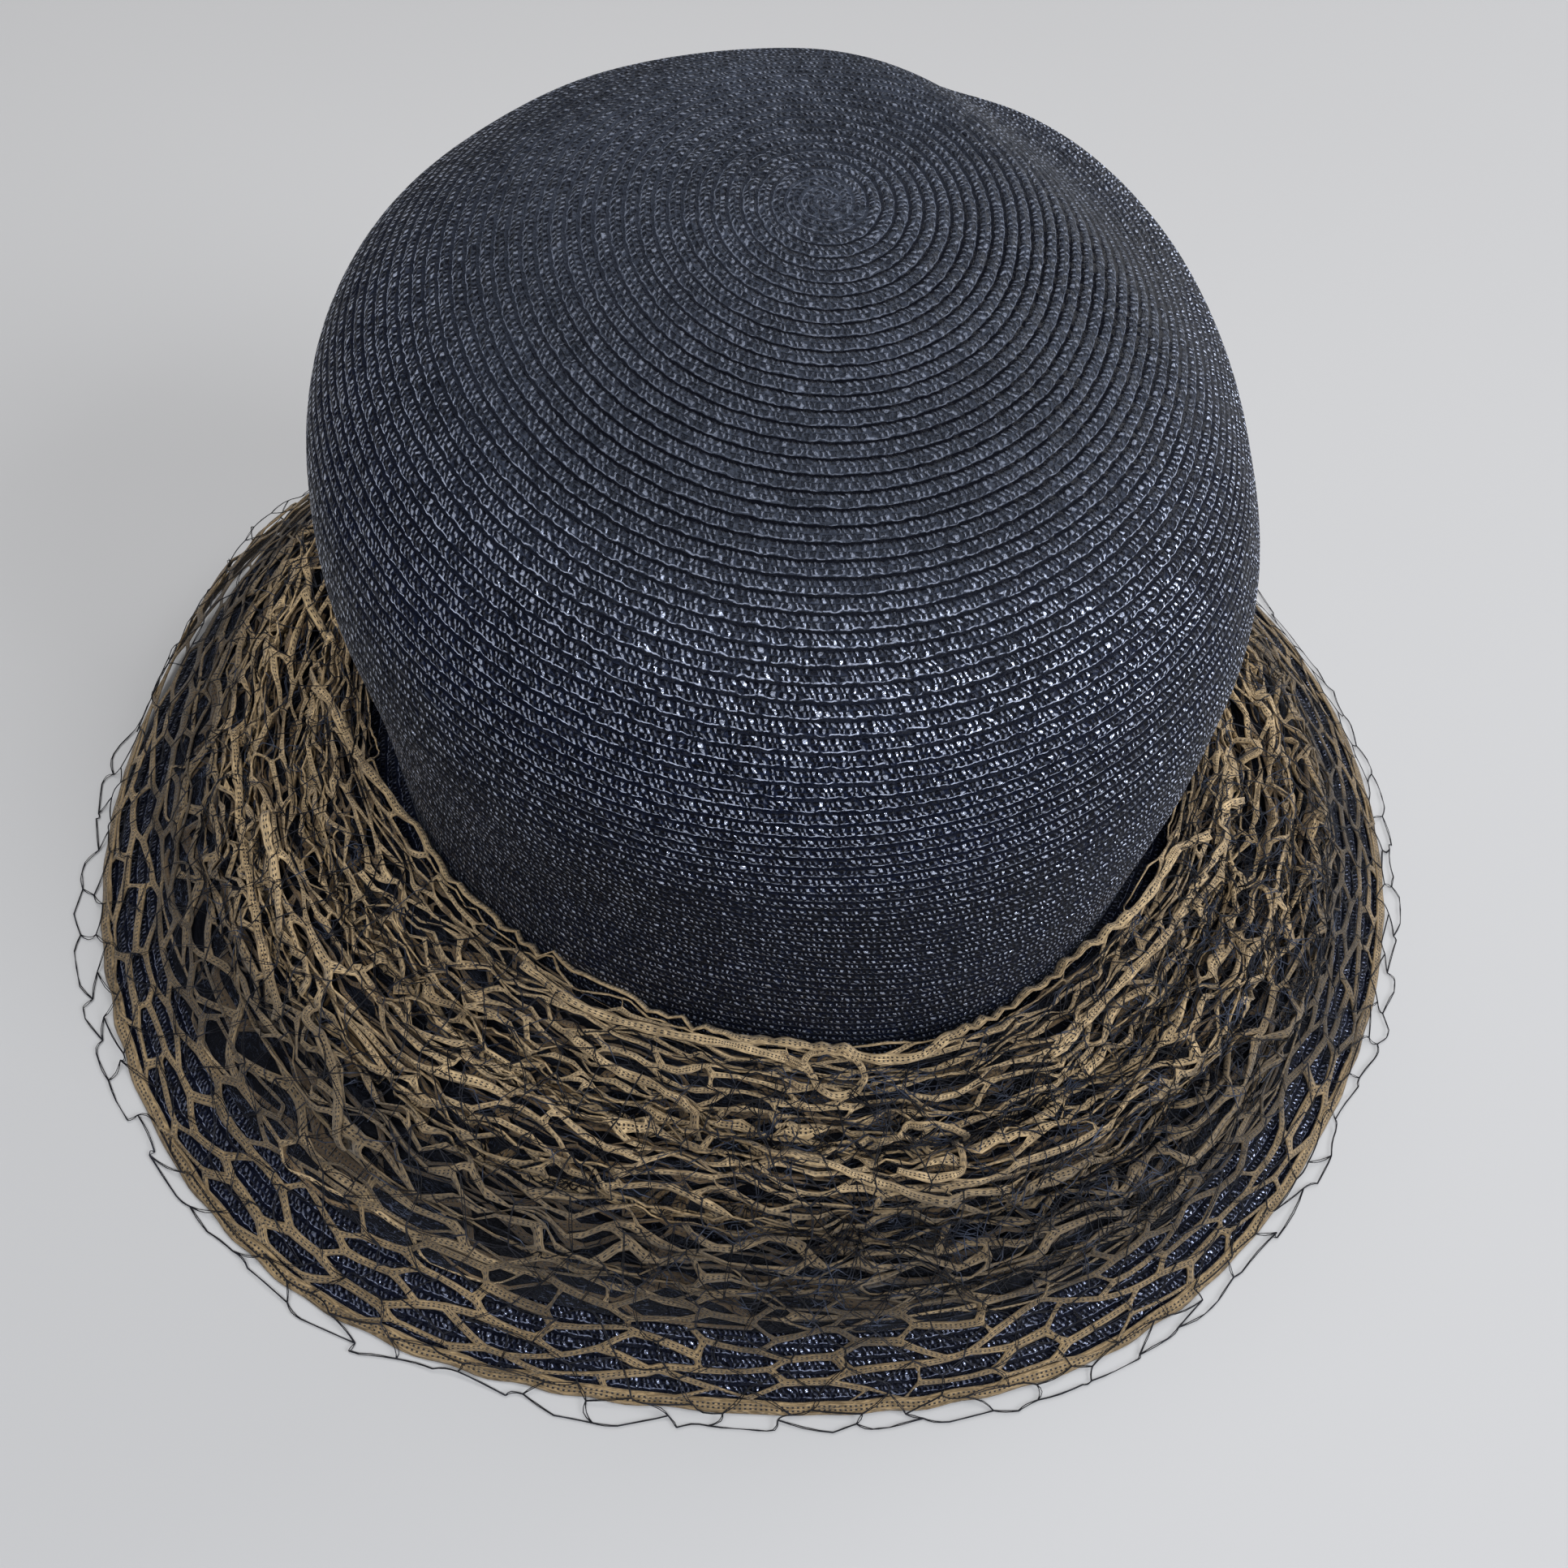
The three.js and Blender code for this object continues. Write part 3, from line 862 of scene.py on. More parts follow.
@dataclass(frozen=True)
class WovenLace:
    """Flat woven ribbon of the honeycomb lace.

    Its UV map gives millimetres along a ribbon, and 0 at its middle to 1 at its edge.

    Attributes:
        name: Name of the material.
        light: Colour of the lit yarns.
        dark: Colour of the shaded yarns.
        hole: Colour seen through the ladder holes.
        hole_pitch: Spacing of the ladder holes in millimetres.
        hole_edge: Distances from a hole's middle between which it ends, in pitches.
        ladder_at: Where across a ribbon the holes lie.
        ladder_edge: Distances from there between which a hole ends, in half widths.
        clouds: Clouds to the metre in the broad patches and the fuzz.
        yarns: Stretch of the yarns along and across a ribbon, and their change with the patches.
        shaded: Distances from the hat's middle, in metres, where a dark zone starts and ends.
        shade_edge: How softly the zone begins, outside and inside its edge, in metres.
        shade_wander: How far the zone wanders with the patches, in metres.
        shade_depth: How dark the zone is.
        relief: Depth of the relief in metres.
    """

    name: str
    light: Triple = (0.74, 0.53, 0.285)
    dark: Triple = (0.10, 0.06, 0.026)
    hole: Triple = (0.018, 0.014, 0.012)
    hole_pitch: float = 0.95
    hole_edge: Pair = (0.17, 0.26)
    ladder_at: float = 0.27
    ladder_edge: Pair = (0.1, 0.16)
    clouds: Pair = (46.0, 900.0)
    yarns: Triple = (0.45, 5.0, 30.0)
    shaded: Pair = (0.126, 0.143)
    shade_edge: Pair = (0.005, 0.004)
    shade_wander: float = 0.022
    shade_depth: float = 0.66
    relief: float = 0.00025

    def build(self) -> Finish:
        """Makes the material.

        Returns:
            The material.
        """
        kit = NodeKit(self.name)
        along, across = kit.uv()
        rung = (along.absolute() / self.hole_pitch).fract()
        holes = (rung - 0.5).absolute().ramp(*self.hole_edge, 1.0, 0.0)
        holes = holes * (across - self.ladder_at).absolute().ramp(*self.ladder_edge, 1.0, 0.0)
        patches = kit.noise(self.clouds[0], 3.0)
        fuzz = kit.noise(self.clouds[1], 3.0)
        stretch, wide, change = self.yarns
        streak = kit.add("ShaderNodeCombineXYZ", None, along * stretch, across * wide, patches * change)
        ridge = kit.noise(1.0, 2.0, streak).ramp(0.36, 0.64)
        mixed = patches.ramp(0.32, 0.68) * 0.35 + fuzz.ramp(0.3, 0.7) * 0.2 + ridge * 0.5
        colour = kit.colours(mixed, self.dark, self.light)
        colour = kit.colours(across.ramp(0.8, 1.0, 0.0, 0.3), colour, self.dark)
        colour = kit.colours(holes, colour, self.hole)
        reach = kit.add("ShaderNodeVectorMath", {"operation": "LENGTH"}, kit.flat_place(), output="Value")
        reach = reach + (patches - 0.5) * self.shade_wander
        start, end = self.shaded
        before, past = self.shade_edge
        dim = reach.ramp(start - before, start + past) * reach.ramp(end - past, end + before, 1.0, 0.0)
        colour = kit.colours(dim * self.shade_depth, colour, self.hole)
        height = ridge * 0.4 + fuzz * 0.35 - holes * 0.8
        return kit.surface(
            Base_Color=colour,
            Roughness=0.82,
            Normal=kit.bump(height, self.relief),
            Specular_IOR_Level=0.25,
            Sheen_Weight=0.15,
            Sheen_Roughness=0.5,
        )


@dataclass(frozen=True)
class BlackNet:
    """Black thread of the veil, the tulle and its loose fibres.

    Attributes:
        name: Name of the material.
        thread: Colour of the thread.
        worn: Colour where it is dusty and catches the light.
        roughness: Roughness of the thread.
        swing: How far the roughness changes along it, up and down.
        twist: Twists to the metre.
        dust: Clouds of dust to the metre.
        relief: Depth of the relief in metres.
    """

    name: str
    thread: Triple = (0.006, 0.006, 0.008)
    worn: Triple = (0.022, 0.023, 0.030)
    roughness: float = 0.5
    swing: float = 0.12
    twist: float = 1400.0
    dust: float = 160.0
    relief: float = 0.0001

    def build(self) -> Finish:
        """Makes the material.

        Returns:
            The material.
        """
        kit = NodeKit(self.name)
        dust = kit.noise(self.dust, 3.0)
        twist = kit.noise(self.twist, 1.0)
        colour = kit.colours(dust.ramp(0.45, 0.75), self.thread, self.worn)
        least, most = self.roughness - self.swing, self.roughness + self.swing
        rough = kit.add("ShaderNodeMapRange", None, twist, 0.0, 1.0, least, most)
        normal = kit.bump(twist, self.relief)
        return kit.surface(Base_Color=colour, Roughness=rough, Normal=normal, Specular_IOR_Level=0.2)


@dataclass(frozen=True)
class Tulle:
    """Crumpled black tulle under the lace, with fine crossing fibres.

    Its UV map gives millimetres round and across.

    Attributes:
        name: Name of the material.
        cloth: Colour of the cloth.
        fibre: Colour of the fibres.
        sets: Turn in degrees and stretch of each set of fibres.
        density: Fibres to the millimetre across a set.
        patches: Patches with and without fibres, to the metre.
        relief: Depth of the relief in metres.
    """

    name: str
    cloth: Triple = (0.003, 0.0032, 0.005)
    fibre: Triple = (0.05, 0.058, 0.085)
    sets: tuple[Pair, ...] = ((18.0, 7.0), (-24.0, 6.0), (74.0, 5.0))
    density: float = 1.9
    patches: float = 60.0
    relief: float = 0.0003

    def build(self) -> Finish:
        """Makes the material.

        Returns:
            The material.
        """
        kit = NodeKit(self.name)
        place = kit.add("ShaderNodeTexCoord", output="UV")
        strands = None
        for turn, stretch in self.sets:
            turned = kit.add(
                "ShaderNodeMapping", None, place, (0.0, 0.0, 0.0), (0.0, 0.0, math.radians(turn)),
                (1.0 / stretch, 1.0, 1.0),
            )
            cloud = kit.noise(self.density, 2.0, turned)
            line = (cloud - 0.5).absolute().ramp(0.004, 0.02, 1.0, 0.0)
            strands = line if strands is None else strands.at_least(line)
        patches = kit.noise(self.patches, 2.0)
        colour = kit.colours(strands * patches.ramp(0.3, 0.65), self.cloth, self.fibre)
        normal = kit.bump(strands, self.relief)
        return kit.surface(Base_Color=colour, Roughness=0.6, Normal=normal, Specular_IOR_Level=0.12)


@dataclass(frozen=True)
class PaleFloor:
    """Plain pale studio floor.

    Attributes:
        name: Name of the material.
        colour: Its colour.
        clouds: Faint clouds to the metre.
    """

    name: str = "pale_floor"
    colour: Triple = (0.465, 0.455, 0.445)
    clouds: float = 3.0

    def build(self) -> Finish:
        """Makes the material.

        Returns:
            The material.
        """
        kit = NodeKit(self.name)
        clouds = kit.noise(self.clouds, 2.0)
        colour = kit.colours(clouds * 0.5, self.colour, dimmed(self.colour, 0.93))
        return kit.surface(Base_Color=colour, Roughness=0.85)


# Mesh helpers


def spread(bm: Mesh, points: Array) -> None:
    """Moves every vertex of a mesh.

    Args:
        bm: The mesh.
        points: One new place for each vertex, in order.
    """
    for vertex, point in zip(bm.verts, points.tolist()):
        vertex.co = point


def flat_places(bm: Mesh) -> Array:
    """Places of a mesh's vertices, one row each."""
    return np.array([vertex.co[:] for vertex in bm.verts])


def unit_grid(columns: int, rows: int, height: float = 1.0) -> tuple[Mesh, Array]:
    """Flat grid, x round the hat from 0 to 1 and y across a piece.

    Args:
        columns: Facets round.
        rows: Facets across.
        height: Size across.

    Returns:
        The grid, and its places.
    """
    bm = bmesh.new()
    bmesh.ops.create_grid(bm, x_segments=columns, y_segments=rows, size=0.5)
    bmesh.ops.translate(bm, verts=bm.verts, vec=(0.5, 0.5, 0.0))
    bmesh.ops.scale(bm, verts=bm.verts, vec=(1.0, height, 1.0))
    return bm, flat_places(bm)


def write_uv(bm: Mesh, name: str, place: Callable[[Vector], Pair]) -> None:
    """Writes a UV map while a mesh is still flat.

    Args:
        bm: The mesh.
        name: Name of the map.
        place: Gives the coordinates of a flat place.
    """
    layer = bm.loops.layers.uv.new(name)
    for face in bm.faces:
        for loop in face.loops:
            loop[layer].uv = place(loop.vert.co)


def close_round(bm: Mesh, points: Array) -> None:
    """Lays a flat sheet round the hat, welds its seam and turns its faces outwards.

    Args:
        bm: The flat sheet.
        points: The new place of each vertex, in metres.
    """
    spread(bm, points)
    bmesh.ops.remove_doubles(bm, verts=bm.verts, dist=WELD)
    bmesh.ops.reverse_faces(bm, faces=bm.faces)


def piece_from(bm: Mesh, name: str, finish: Finish, smooth: bool = True) -> Piece:
    """Makes an object of a finished mesh.

    Args:
        bm: The mesh, which is freed.
        name: Name of the object.
        finish: Its material.
        smooth: Whether its faces are shaded smooth.

    Returns:
        The object, at the origin.
    """
    for face in bm.faces:
        face.smooth = smooth
    mesh = bpy.data.meshes.new(name)
    bm.to_mesh(mesh)
    bm.free()
    mesh.materials.append(finish)
    piece = bpy.data.objects.new(name, mesh)
    bpy.context.scene.collection.objects.link(piece)
    return piece


def threads(
    lines: list[Array], radius: float, name: str, finish: Finish, knots: float = 1.0
) -> Piece:
    """Makes thin round threads.

    Args:
        lines: The points of each thread, in metres.
        radius: Radius of a thread in metres.
        name: Name of the piece.
        finish: Its material.
        knots: How much thicker a thread is at its ends.

    Returns:
        The piece, a mesh.
    """
    curve = bpy.data.curves.new(name, "CURVE")
    curve.dimensions = "3D"
    curve.bevel_depth = radius
    curve.bevel_resolution = 0
    for points in lines:
        line = curve.splines.new("POLY")
        line.points.add(len(points) - 1)
        line.points.foreach_set("co", np.c_[points, np.ones(len(points))].ravel())
        swell = np.ones(len(points))
        swell[[0, -1]] = knots
        line.points.foreach_set("radius", swell)
    holder = bpy.data.objects.new(name, curve)
    bpy.context.scene.collection.objects.link(holder)
    mesh = bpy.data.meshes.new_from_object(holder)
    bpy.data.objects.remove(holder)
    bpy.data.curves.remove(curve)
    mesh.name = name
    mesh.materials.clear()
    mesh.materials.append(finish)
    piece = bpy.data.objects.new(name, mesh)
    bpy.context.scene.collection.objects.link(piece)
    return piece


def thicken(piece: Piece, thickness: float) -> None:
    """Gives a sheet its thickness, half on each side.

    Args:
        piece: The sheet.
        thickness: Thickness in metres.
    """
    wall = piece.modifiers.new("wall", "SOLIDIFY")
    wall.thickness = thickness
    wall.offset = 0.0


# Straw


@dataclass
class StrawWork:
    """Crown and brim of sewn straw braid.

    Attributes:
        form: Form of the hat.
        crown_pitch: Width of a row of the crown, in millimetres.
        brim_pitch: Width of a row of the brim, in millimetres.
        columns: Facets round the crown.
        brim_columns: Facets round the brim.
        relief: Height of the braid across a row, from its groove, in millimetres.
        inside_relief: The same on the inside.
        stitch: Length of a stitch in millimetres.
        spiral_start: Rows from the tip over which the relief rises, as first row and count.
        brim_reach: Reach of the brim's first row, and the way from there to its last, in
            millimetres.
        edge_share: Share of the brim's width over which its underside meets an edge.
    """

    form: HatForm
    crown_pitch: float = 2.45
    brim_pitch: float = 2.4
    columns: int = 168
    brim_columns: int = 240
    relief: Row = (-0.26, 0.03, 0.12, 0.05)
    inside_relief: Row = (0.2, -0.1)
    stitch: float = 1.12
    spiral_start: Pair = (1.5, 3.0)
    brim_reach: Pair = (90.0, 61.0)
    edge_share: float = 0.06

    def _stitches(self, bm: Mesh, lengths: Array) -> None:
        """Writes the UV map of a braid sheet.

        Args:
            bm: The flat grid.
            lengths: Length of each row round the hat, in millimetres.
        """
        layer = bm.loops.layers.uv.new("braid")
        fewest = 5
        counts = np.maximum(fewest, np.round(lengths / self.stitch)).tolist()
        for face in bm.faces:
            row = min(int(face.calc_center_median().y), len(counts) - 1)
            for loop in face.loops:
                x, y, _ = loop.vert.co
                loop[layer].uv = (x * counts[row], y)

    def _relief(self, rows: Array, heights: Row) -> Array:
        """Height of the braid at each row coordinate."""
        at = np.rint(rows * len(heights)).astype(int) % len(heights)
        return np.asarray(heights)[at]

    def _crown_side(self, outside: bool) -> Mesh:
        """One side of the crown's wall, a spiral of braid from the tip down.

        Args:
            outside: Whether it is the outer side.

        Returns:
            The open sheet, in metres.
        """
        form = self.form
        length = form.meridian_length()
        rows = round(length / self.crown_pitch)
        relief = self.relief if outside else self.inside_relief
        # One row more than the meridian holds, because a spiral starts and ends in part rows.
        bm, flat = unit_grid(self.columns, (rows + 1) * len(relief), rows + 1)
        along, reaches, _ = form.meridian()
        middles = np.interp((np.arange(rows + 1) - 0.25) * length / rows, along, reaches)
        self._stitches(bm, FULL_TURN * np.maximum(middles, 1.0))
        azimuth = flat[:, 0] * FULL_TURN
        share = (flat[:, 1] - 1 + flat[:, 0]) / rows
        free = (share > TINY) & (share < 1 - TINY)
        base = 0.0 if outside else -form.straw_wall
        first, count = self.spiral_start
        settled = np.clip((flat[:, 1] - first) / count, 0, 1)
        lift = base + np.where(free, self._relief(flat[:, 1], relief) * settled, 0.0)
        share = np.clip(share, 0, 1)
        points = form.off(form.crown, azimuth, share, lift)
        points[share <= 0] = form.crown(np.zeros(1), np.zeros(1))[0] + np.array((0.0, 0.0, base))
        points[share >= 1, 2] = form.base_height
        spread(bm, form.place(points))
        bmesh.ops.remove_doubles(bm, verts=bm.verts, dist=WELD)
        self._close_tip(bm)
        if outside:
            bmesh.ops.reverse_faces(bm, faces=bm.faces)
        return bm

    def crown(self, finish: Finish) -> Piece:
        """Builds the crown.

        Args:
            finish: Material of the straw.

        Returns:
            The crown.
        """
        sides = self._crown_side(True), self._crown_side(False)
        return self._joined(*sides, "crown_braid", finish, "crown")

    def _joined(self, bm: Mesh, inner: Mesh, name: str, finish: Finish, node: str) -> Piece:
        """Joins both sides of a wall along their open edges.

        Args:
            bm: Outer side, which is used up.
            inner: Inner side, which is freed.
            name: Name of the piece.
            finish: Its material.
            node: The solid that it stands for.

        Returns:
            The piece.
        """
        spare = bpy.data.meshes.new("inner_side")
        inner.to_mesh(spare)
        inner.free()
        bm.from_mesh(spare)
        bpy.data.meshes.remove(spare)
        open_edges = [edge for edge in bm.edges if edge.is_boundary]
        for loops in self._pairs(open_edges):
            bmesh.ops.bridge_loops(bm, edges=loops)
        piece = piece_from(bm, name, finish)
        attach(piece, "root")
        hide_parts(node)
        return piece

    def _pairs(self, edges: list[bmesh.types.BMEdge]) -> list[list[bmesh.types.BMEdge]]:
        """Sorts open edges into pairs of loops that belong together.

        Args:
            edges: Open edges of both sides.

        Returns:
            One list for the loops near the head opening, and one for those at the rim if there are any.
        """
        between_edges = 0.12
        near = [edge for edge in edges if edge.verts[0].co.xy.length < between_edges]
        far = [edge for edge in edges if edge.verts[0].co.xy.length >= between_edges]
        return [group for group in (near, far) if group]

    def _close_tip(self, bm: Mesh) -> None:
        """Closes what the welding left open at the tip of the crown.

        Args:
            bm: One side of the crown's wall.
        """
        high = self.form.tip_height * MM / 2
        edges = [edge for edge in bm.edges if edge.is_boundary and edge.verts[0].co.z > high]
        if edges:
            bmesh.ops.holes_fill(bm, edges=edges, sides=0)

    def _brim_side(self, outside: bool) -> Mesh:
        """One side of the brim's wall, with rows that run along the rim.

        Args:
            outside: Whether it is the upper side.

        Returns:
            The open sheet, in metres.
        """
        form = self.form
        turns = np.linspace(0, FULL_TURN, len(form.rim_outline) + 1)[:-1]
        widths = form.brim(turns, np.ones_like(turns)) - form.brim(turns, np.zeros_like(turns))
        rows = round(float(np.linalg.norm(widths, axis=1).mean()) / self.brim_pitch)
        relief = self.relief if outside else self.inside_relief
        bm, flat = unit_grid(self.brim_columns, rows * len(relief), rows)
        first, way = self.brim_reach
        self._stitches(bm, FULL_TURN * (first + way * (np.arange(rows) + 0.5) / rows))
        azimuth = flat[:, 0] * FULL_TURN
        out = flat[:, 1] / rows
        free = (out > TINY) & (out < 1 - TINY)
        lift = np.where(free, self._relief(flat[:, 1], relief), 0.0)
        if outside:
            points = form.off(form.brim, azimuth, out, lift)
        else:
            points = form.off(form.brim, azimuth, out, lift - form.straw_wall)
            inward = np.full_like(out, -form.straw_wall)
            inner_edge = form.off(form.crown, azimuth, np.ones_like(out), inward)
            inner_edge[:, 2] = form.base_height - form.seam_gap
            near = np.clip(1 - out / self.edge_share, 0, 1)[:, None]
            points = points * (1 - near) + inner_edge * near
            rim = form.brim(azimuth, np.ones_like(out))
            inward = np.array((*form.rim_centre, 0.0)) - rim
            rim = rim + inward / np.linalg.norm(inward, axis=1, keepdims=True) * form.rim_face_width
            far = np.clip((out - (1 - self.edge_share)) / self.edge_share, 0, 1)[:, None]
            points = points * (1 - far) + rim * far
            points[:, 2] = np.maximum(points[:, 2], 0.0)
        spread(bm, form.place(points))
        bmesh.ops.remove_doubles(bm, verts=bm.verts, dist=WELD)
        if outside:
            bmesh.ops.reverse_faces(bm, faces=bm.faces)
        return bm

    def brim(self, finish: Finish) -> Piece:
        """Builds the brim.

        Args:
            finish: Material of the straw.

        Returns:
            The brim.
        """
        sides = self._brim_side(True), self._brim_side(False)
        return self._joined(*sides, "brim_braid", finish, "brim")


# Lace


class CellLay(Enum):
    """How the cells of a net lie."""

    LENS = "pointed ends round the hat"
    BRICK = "short links out from the crown"


@dataclass(frozen=True)
class NetCut:
    """A flat net, cut for one layer.

    Attributes:
        columns: Cells round the hat, an even number.
        rows: Cells across.
        length: Flat length round the hat in millimetres.
        width: Flat width in millimetres.
        lay: How the cells lie.
        ribbon: Width of a ribbon in millimetres.
        shake: How far corners stray, in millimetres round and across.
        seed: Seed of the straying.
        bunch: How far rows are drawn together in bundles, in millimetres.
        bunch_pitch: Spacing of the bundles across, in millimetres.
        hole_sizes: Least and most size of a hole, where 1 is what the ribbons leave.
        blunt: Most reach of a ribbon's corner, in ribbon widths.
    """

    columns: int
    rows: int
    length: float
    width: float
    lay: CellLay
    ribbon: float
    shake: Pair
    seed: int
    bunch: float = 0.0
    bunch_pitch: float = 20.0
    hole_sizes: Pair = (0.9, 1.12)
    blunt: float = 1.3

    def cells(self) -> Mesh:
        """Flat welded cells, in millimetres.

        Returns:
            The mesh, x round the hat and y across.
        """
        bm = bmesh.new()
        lens = self.lay is CellLay.LENS
        root3 = math.sqrt(3)
        pitch = self.length / self.columns
        size_x = pitch / 1.5 if lens else pitch / root3
        size_y = self.width / (root3 * (self.rows + 0.5)) if lens else self.width / (1.5 * self.rows + 0.5)
        turn = Matrix.Rotation(math.radians(30 if lens else 0), 4, "Z")
        stretch = Matrix.Diagonal((size_x, size_y, 1.0, 1.0))
        for row in range(self.rows):
            for column in range(self.columns):
                if lens:
                    centre = (column * pitch, (row + 0.5 + 0.5 * (column % 2)) * root3 * size_y)
                else:
                    centre = ((column + 0.5 * (row % 2)) * pitch, size_y + row * 1.5 * size_y)
                at = Matrix.Translation((*centre, 0.0)) @ stretch @ turn
                bmesh.ops.create_circle(bm, cap_ends=True, segments=6, radius=1.0, matrix=at)
        corner_gap = 0.05
        bmesh.ops.remove_doubles(bm, verts=bm.verts, dist=corner_gap)
        self._stray(bm)
        return bm

    def _stray(self, bm: Mesh) -> None:
        """Moves the corners a little, so that no two cells are alike.

        Args:
            bm: The flat cells.
        """
        flat = flat_places(bm)
        azimuth = flat[:, 0] / self.length * FULL_TURN
        across = flat[:, 1] / self.width
        turns = (self.columns // 3, self.columns)
        rows = (self.rows / 4, self.rows * 0.9)
        flat[:, 0] += self.shake[0] * Waves(self.seed, turns, rows).at(azimuth, across)
        flat[:, 1] += self.shake[1] * Waves(self.seed + 1, turns, rows).at(azimuth, across)
        spread(bm, flat)

    def bunched(self, flat: Array) -> Array:
        """Draws flat places together in bundles.

        Args:
            flat: Places in millimetres, x round the hat and y across.

        Returns:
            The new y of each place.
        """
        azimuth = flat[:, 0] / self.length * FULL_TURN
        across = flat[:, 1] / self.width
        wander = Waves(self.seed + 2, (3, 26), (0.2, 2.0)).at(azimuth, across)
        wander_turn = 2.2
        steepness = 8
        ends = np.clip(np.minimum(across, 1 - across) * steepness, 0, 1)
        swing = FULL_TURN * flat[:, 1] / self.bunch_pitch + wander_turn * wander
        return flat[:, 1] + self.bunch * ends * np.sin(swing)

    def ribbons(self, cuts: int = 2) -> Mesh:
        """Flat ribbons round the cells, with their UV map.

        Args:
            cuts: Cuts along each side of a cell.

        Returns:
            The mesh, in millimetres.
        """
        bm = self.cells()
        holes = bm.faces[:]
        rng = np.random.default_rng(self.seed + 5)
        inset = bmesh.ops.inset_individual(bm, faces=holes, thickness=self.ribbon / 2, use_even_offset=True)
        for hole, grown in zip(holes, rng.uniform(*self.hole_sizes, len(holes)).tolist()):
            middle = Matrix.Translation(-hole.calc_center_median())
            bmesh.ops.scale(bm, verts=hole.verts[:], vec=(grown, grown, 1.0), space=middle)
        inner = {vertex for face in holes for vertex in face.verts}
        self._blunt(bm, inner)
        layer = bm.loops.layers.uv.new("ribbon")
        for strip in inset["faces"]:
            start, end = (vertex for vertex in strip.verts if vertex not in inner)
            along = (end.co - start.co).normalized()
            middle = (start.co + end.co) / 2
            for loop in strip.loops:
                loop[layer].uv = ((loop.vert.co - middle).dot(along), float(loop.vert in inner))
        bmesh.ops.delete(bm, geom=holes, context="FACES")
        sides = [edge for edge in bm.edges if (edge.verts[0] in inner) == (edge.verts[1] in inner)]
        bmesh.ops.subdivide_edges(bm, edges=sides, cuts=cuts, use_grid_fill=True)
        return bm

    def _blunt(self, bm: Mesh, inner: set[bmesh.types.BMVert]) -> None:
        """Draws back the corners of holes that would lie too far inside a flat cell.

        Args:
            bm: The net with its ribbons.
            inner: Vertices of the holes.
        """
        most = self.blunt * self.ribbon
        for edge in bm.edges:
            first, second = edge.verts
            if (first in inner) == (second in inner):
                continue
            corner, outer = (first, second) if first in inner else (second, first)
            reach = edge.calc_length()
            if reach > most:
                corner.co = outer.co + (corner.co - outer.co) * (most / reach)


@dataclass(frozen=True)
class DrawnRibbon:
    """A ribbon that is drawn out of the net and lies on the gathers.

    Attributes:
        turns: Angles of its knots in degrees.
        across: Shares of the gathered width at the knots.
        width: Width in millimetres.
    """

    turns: Row
    across: Row
    width: float = 1.9


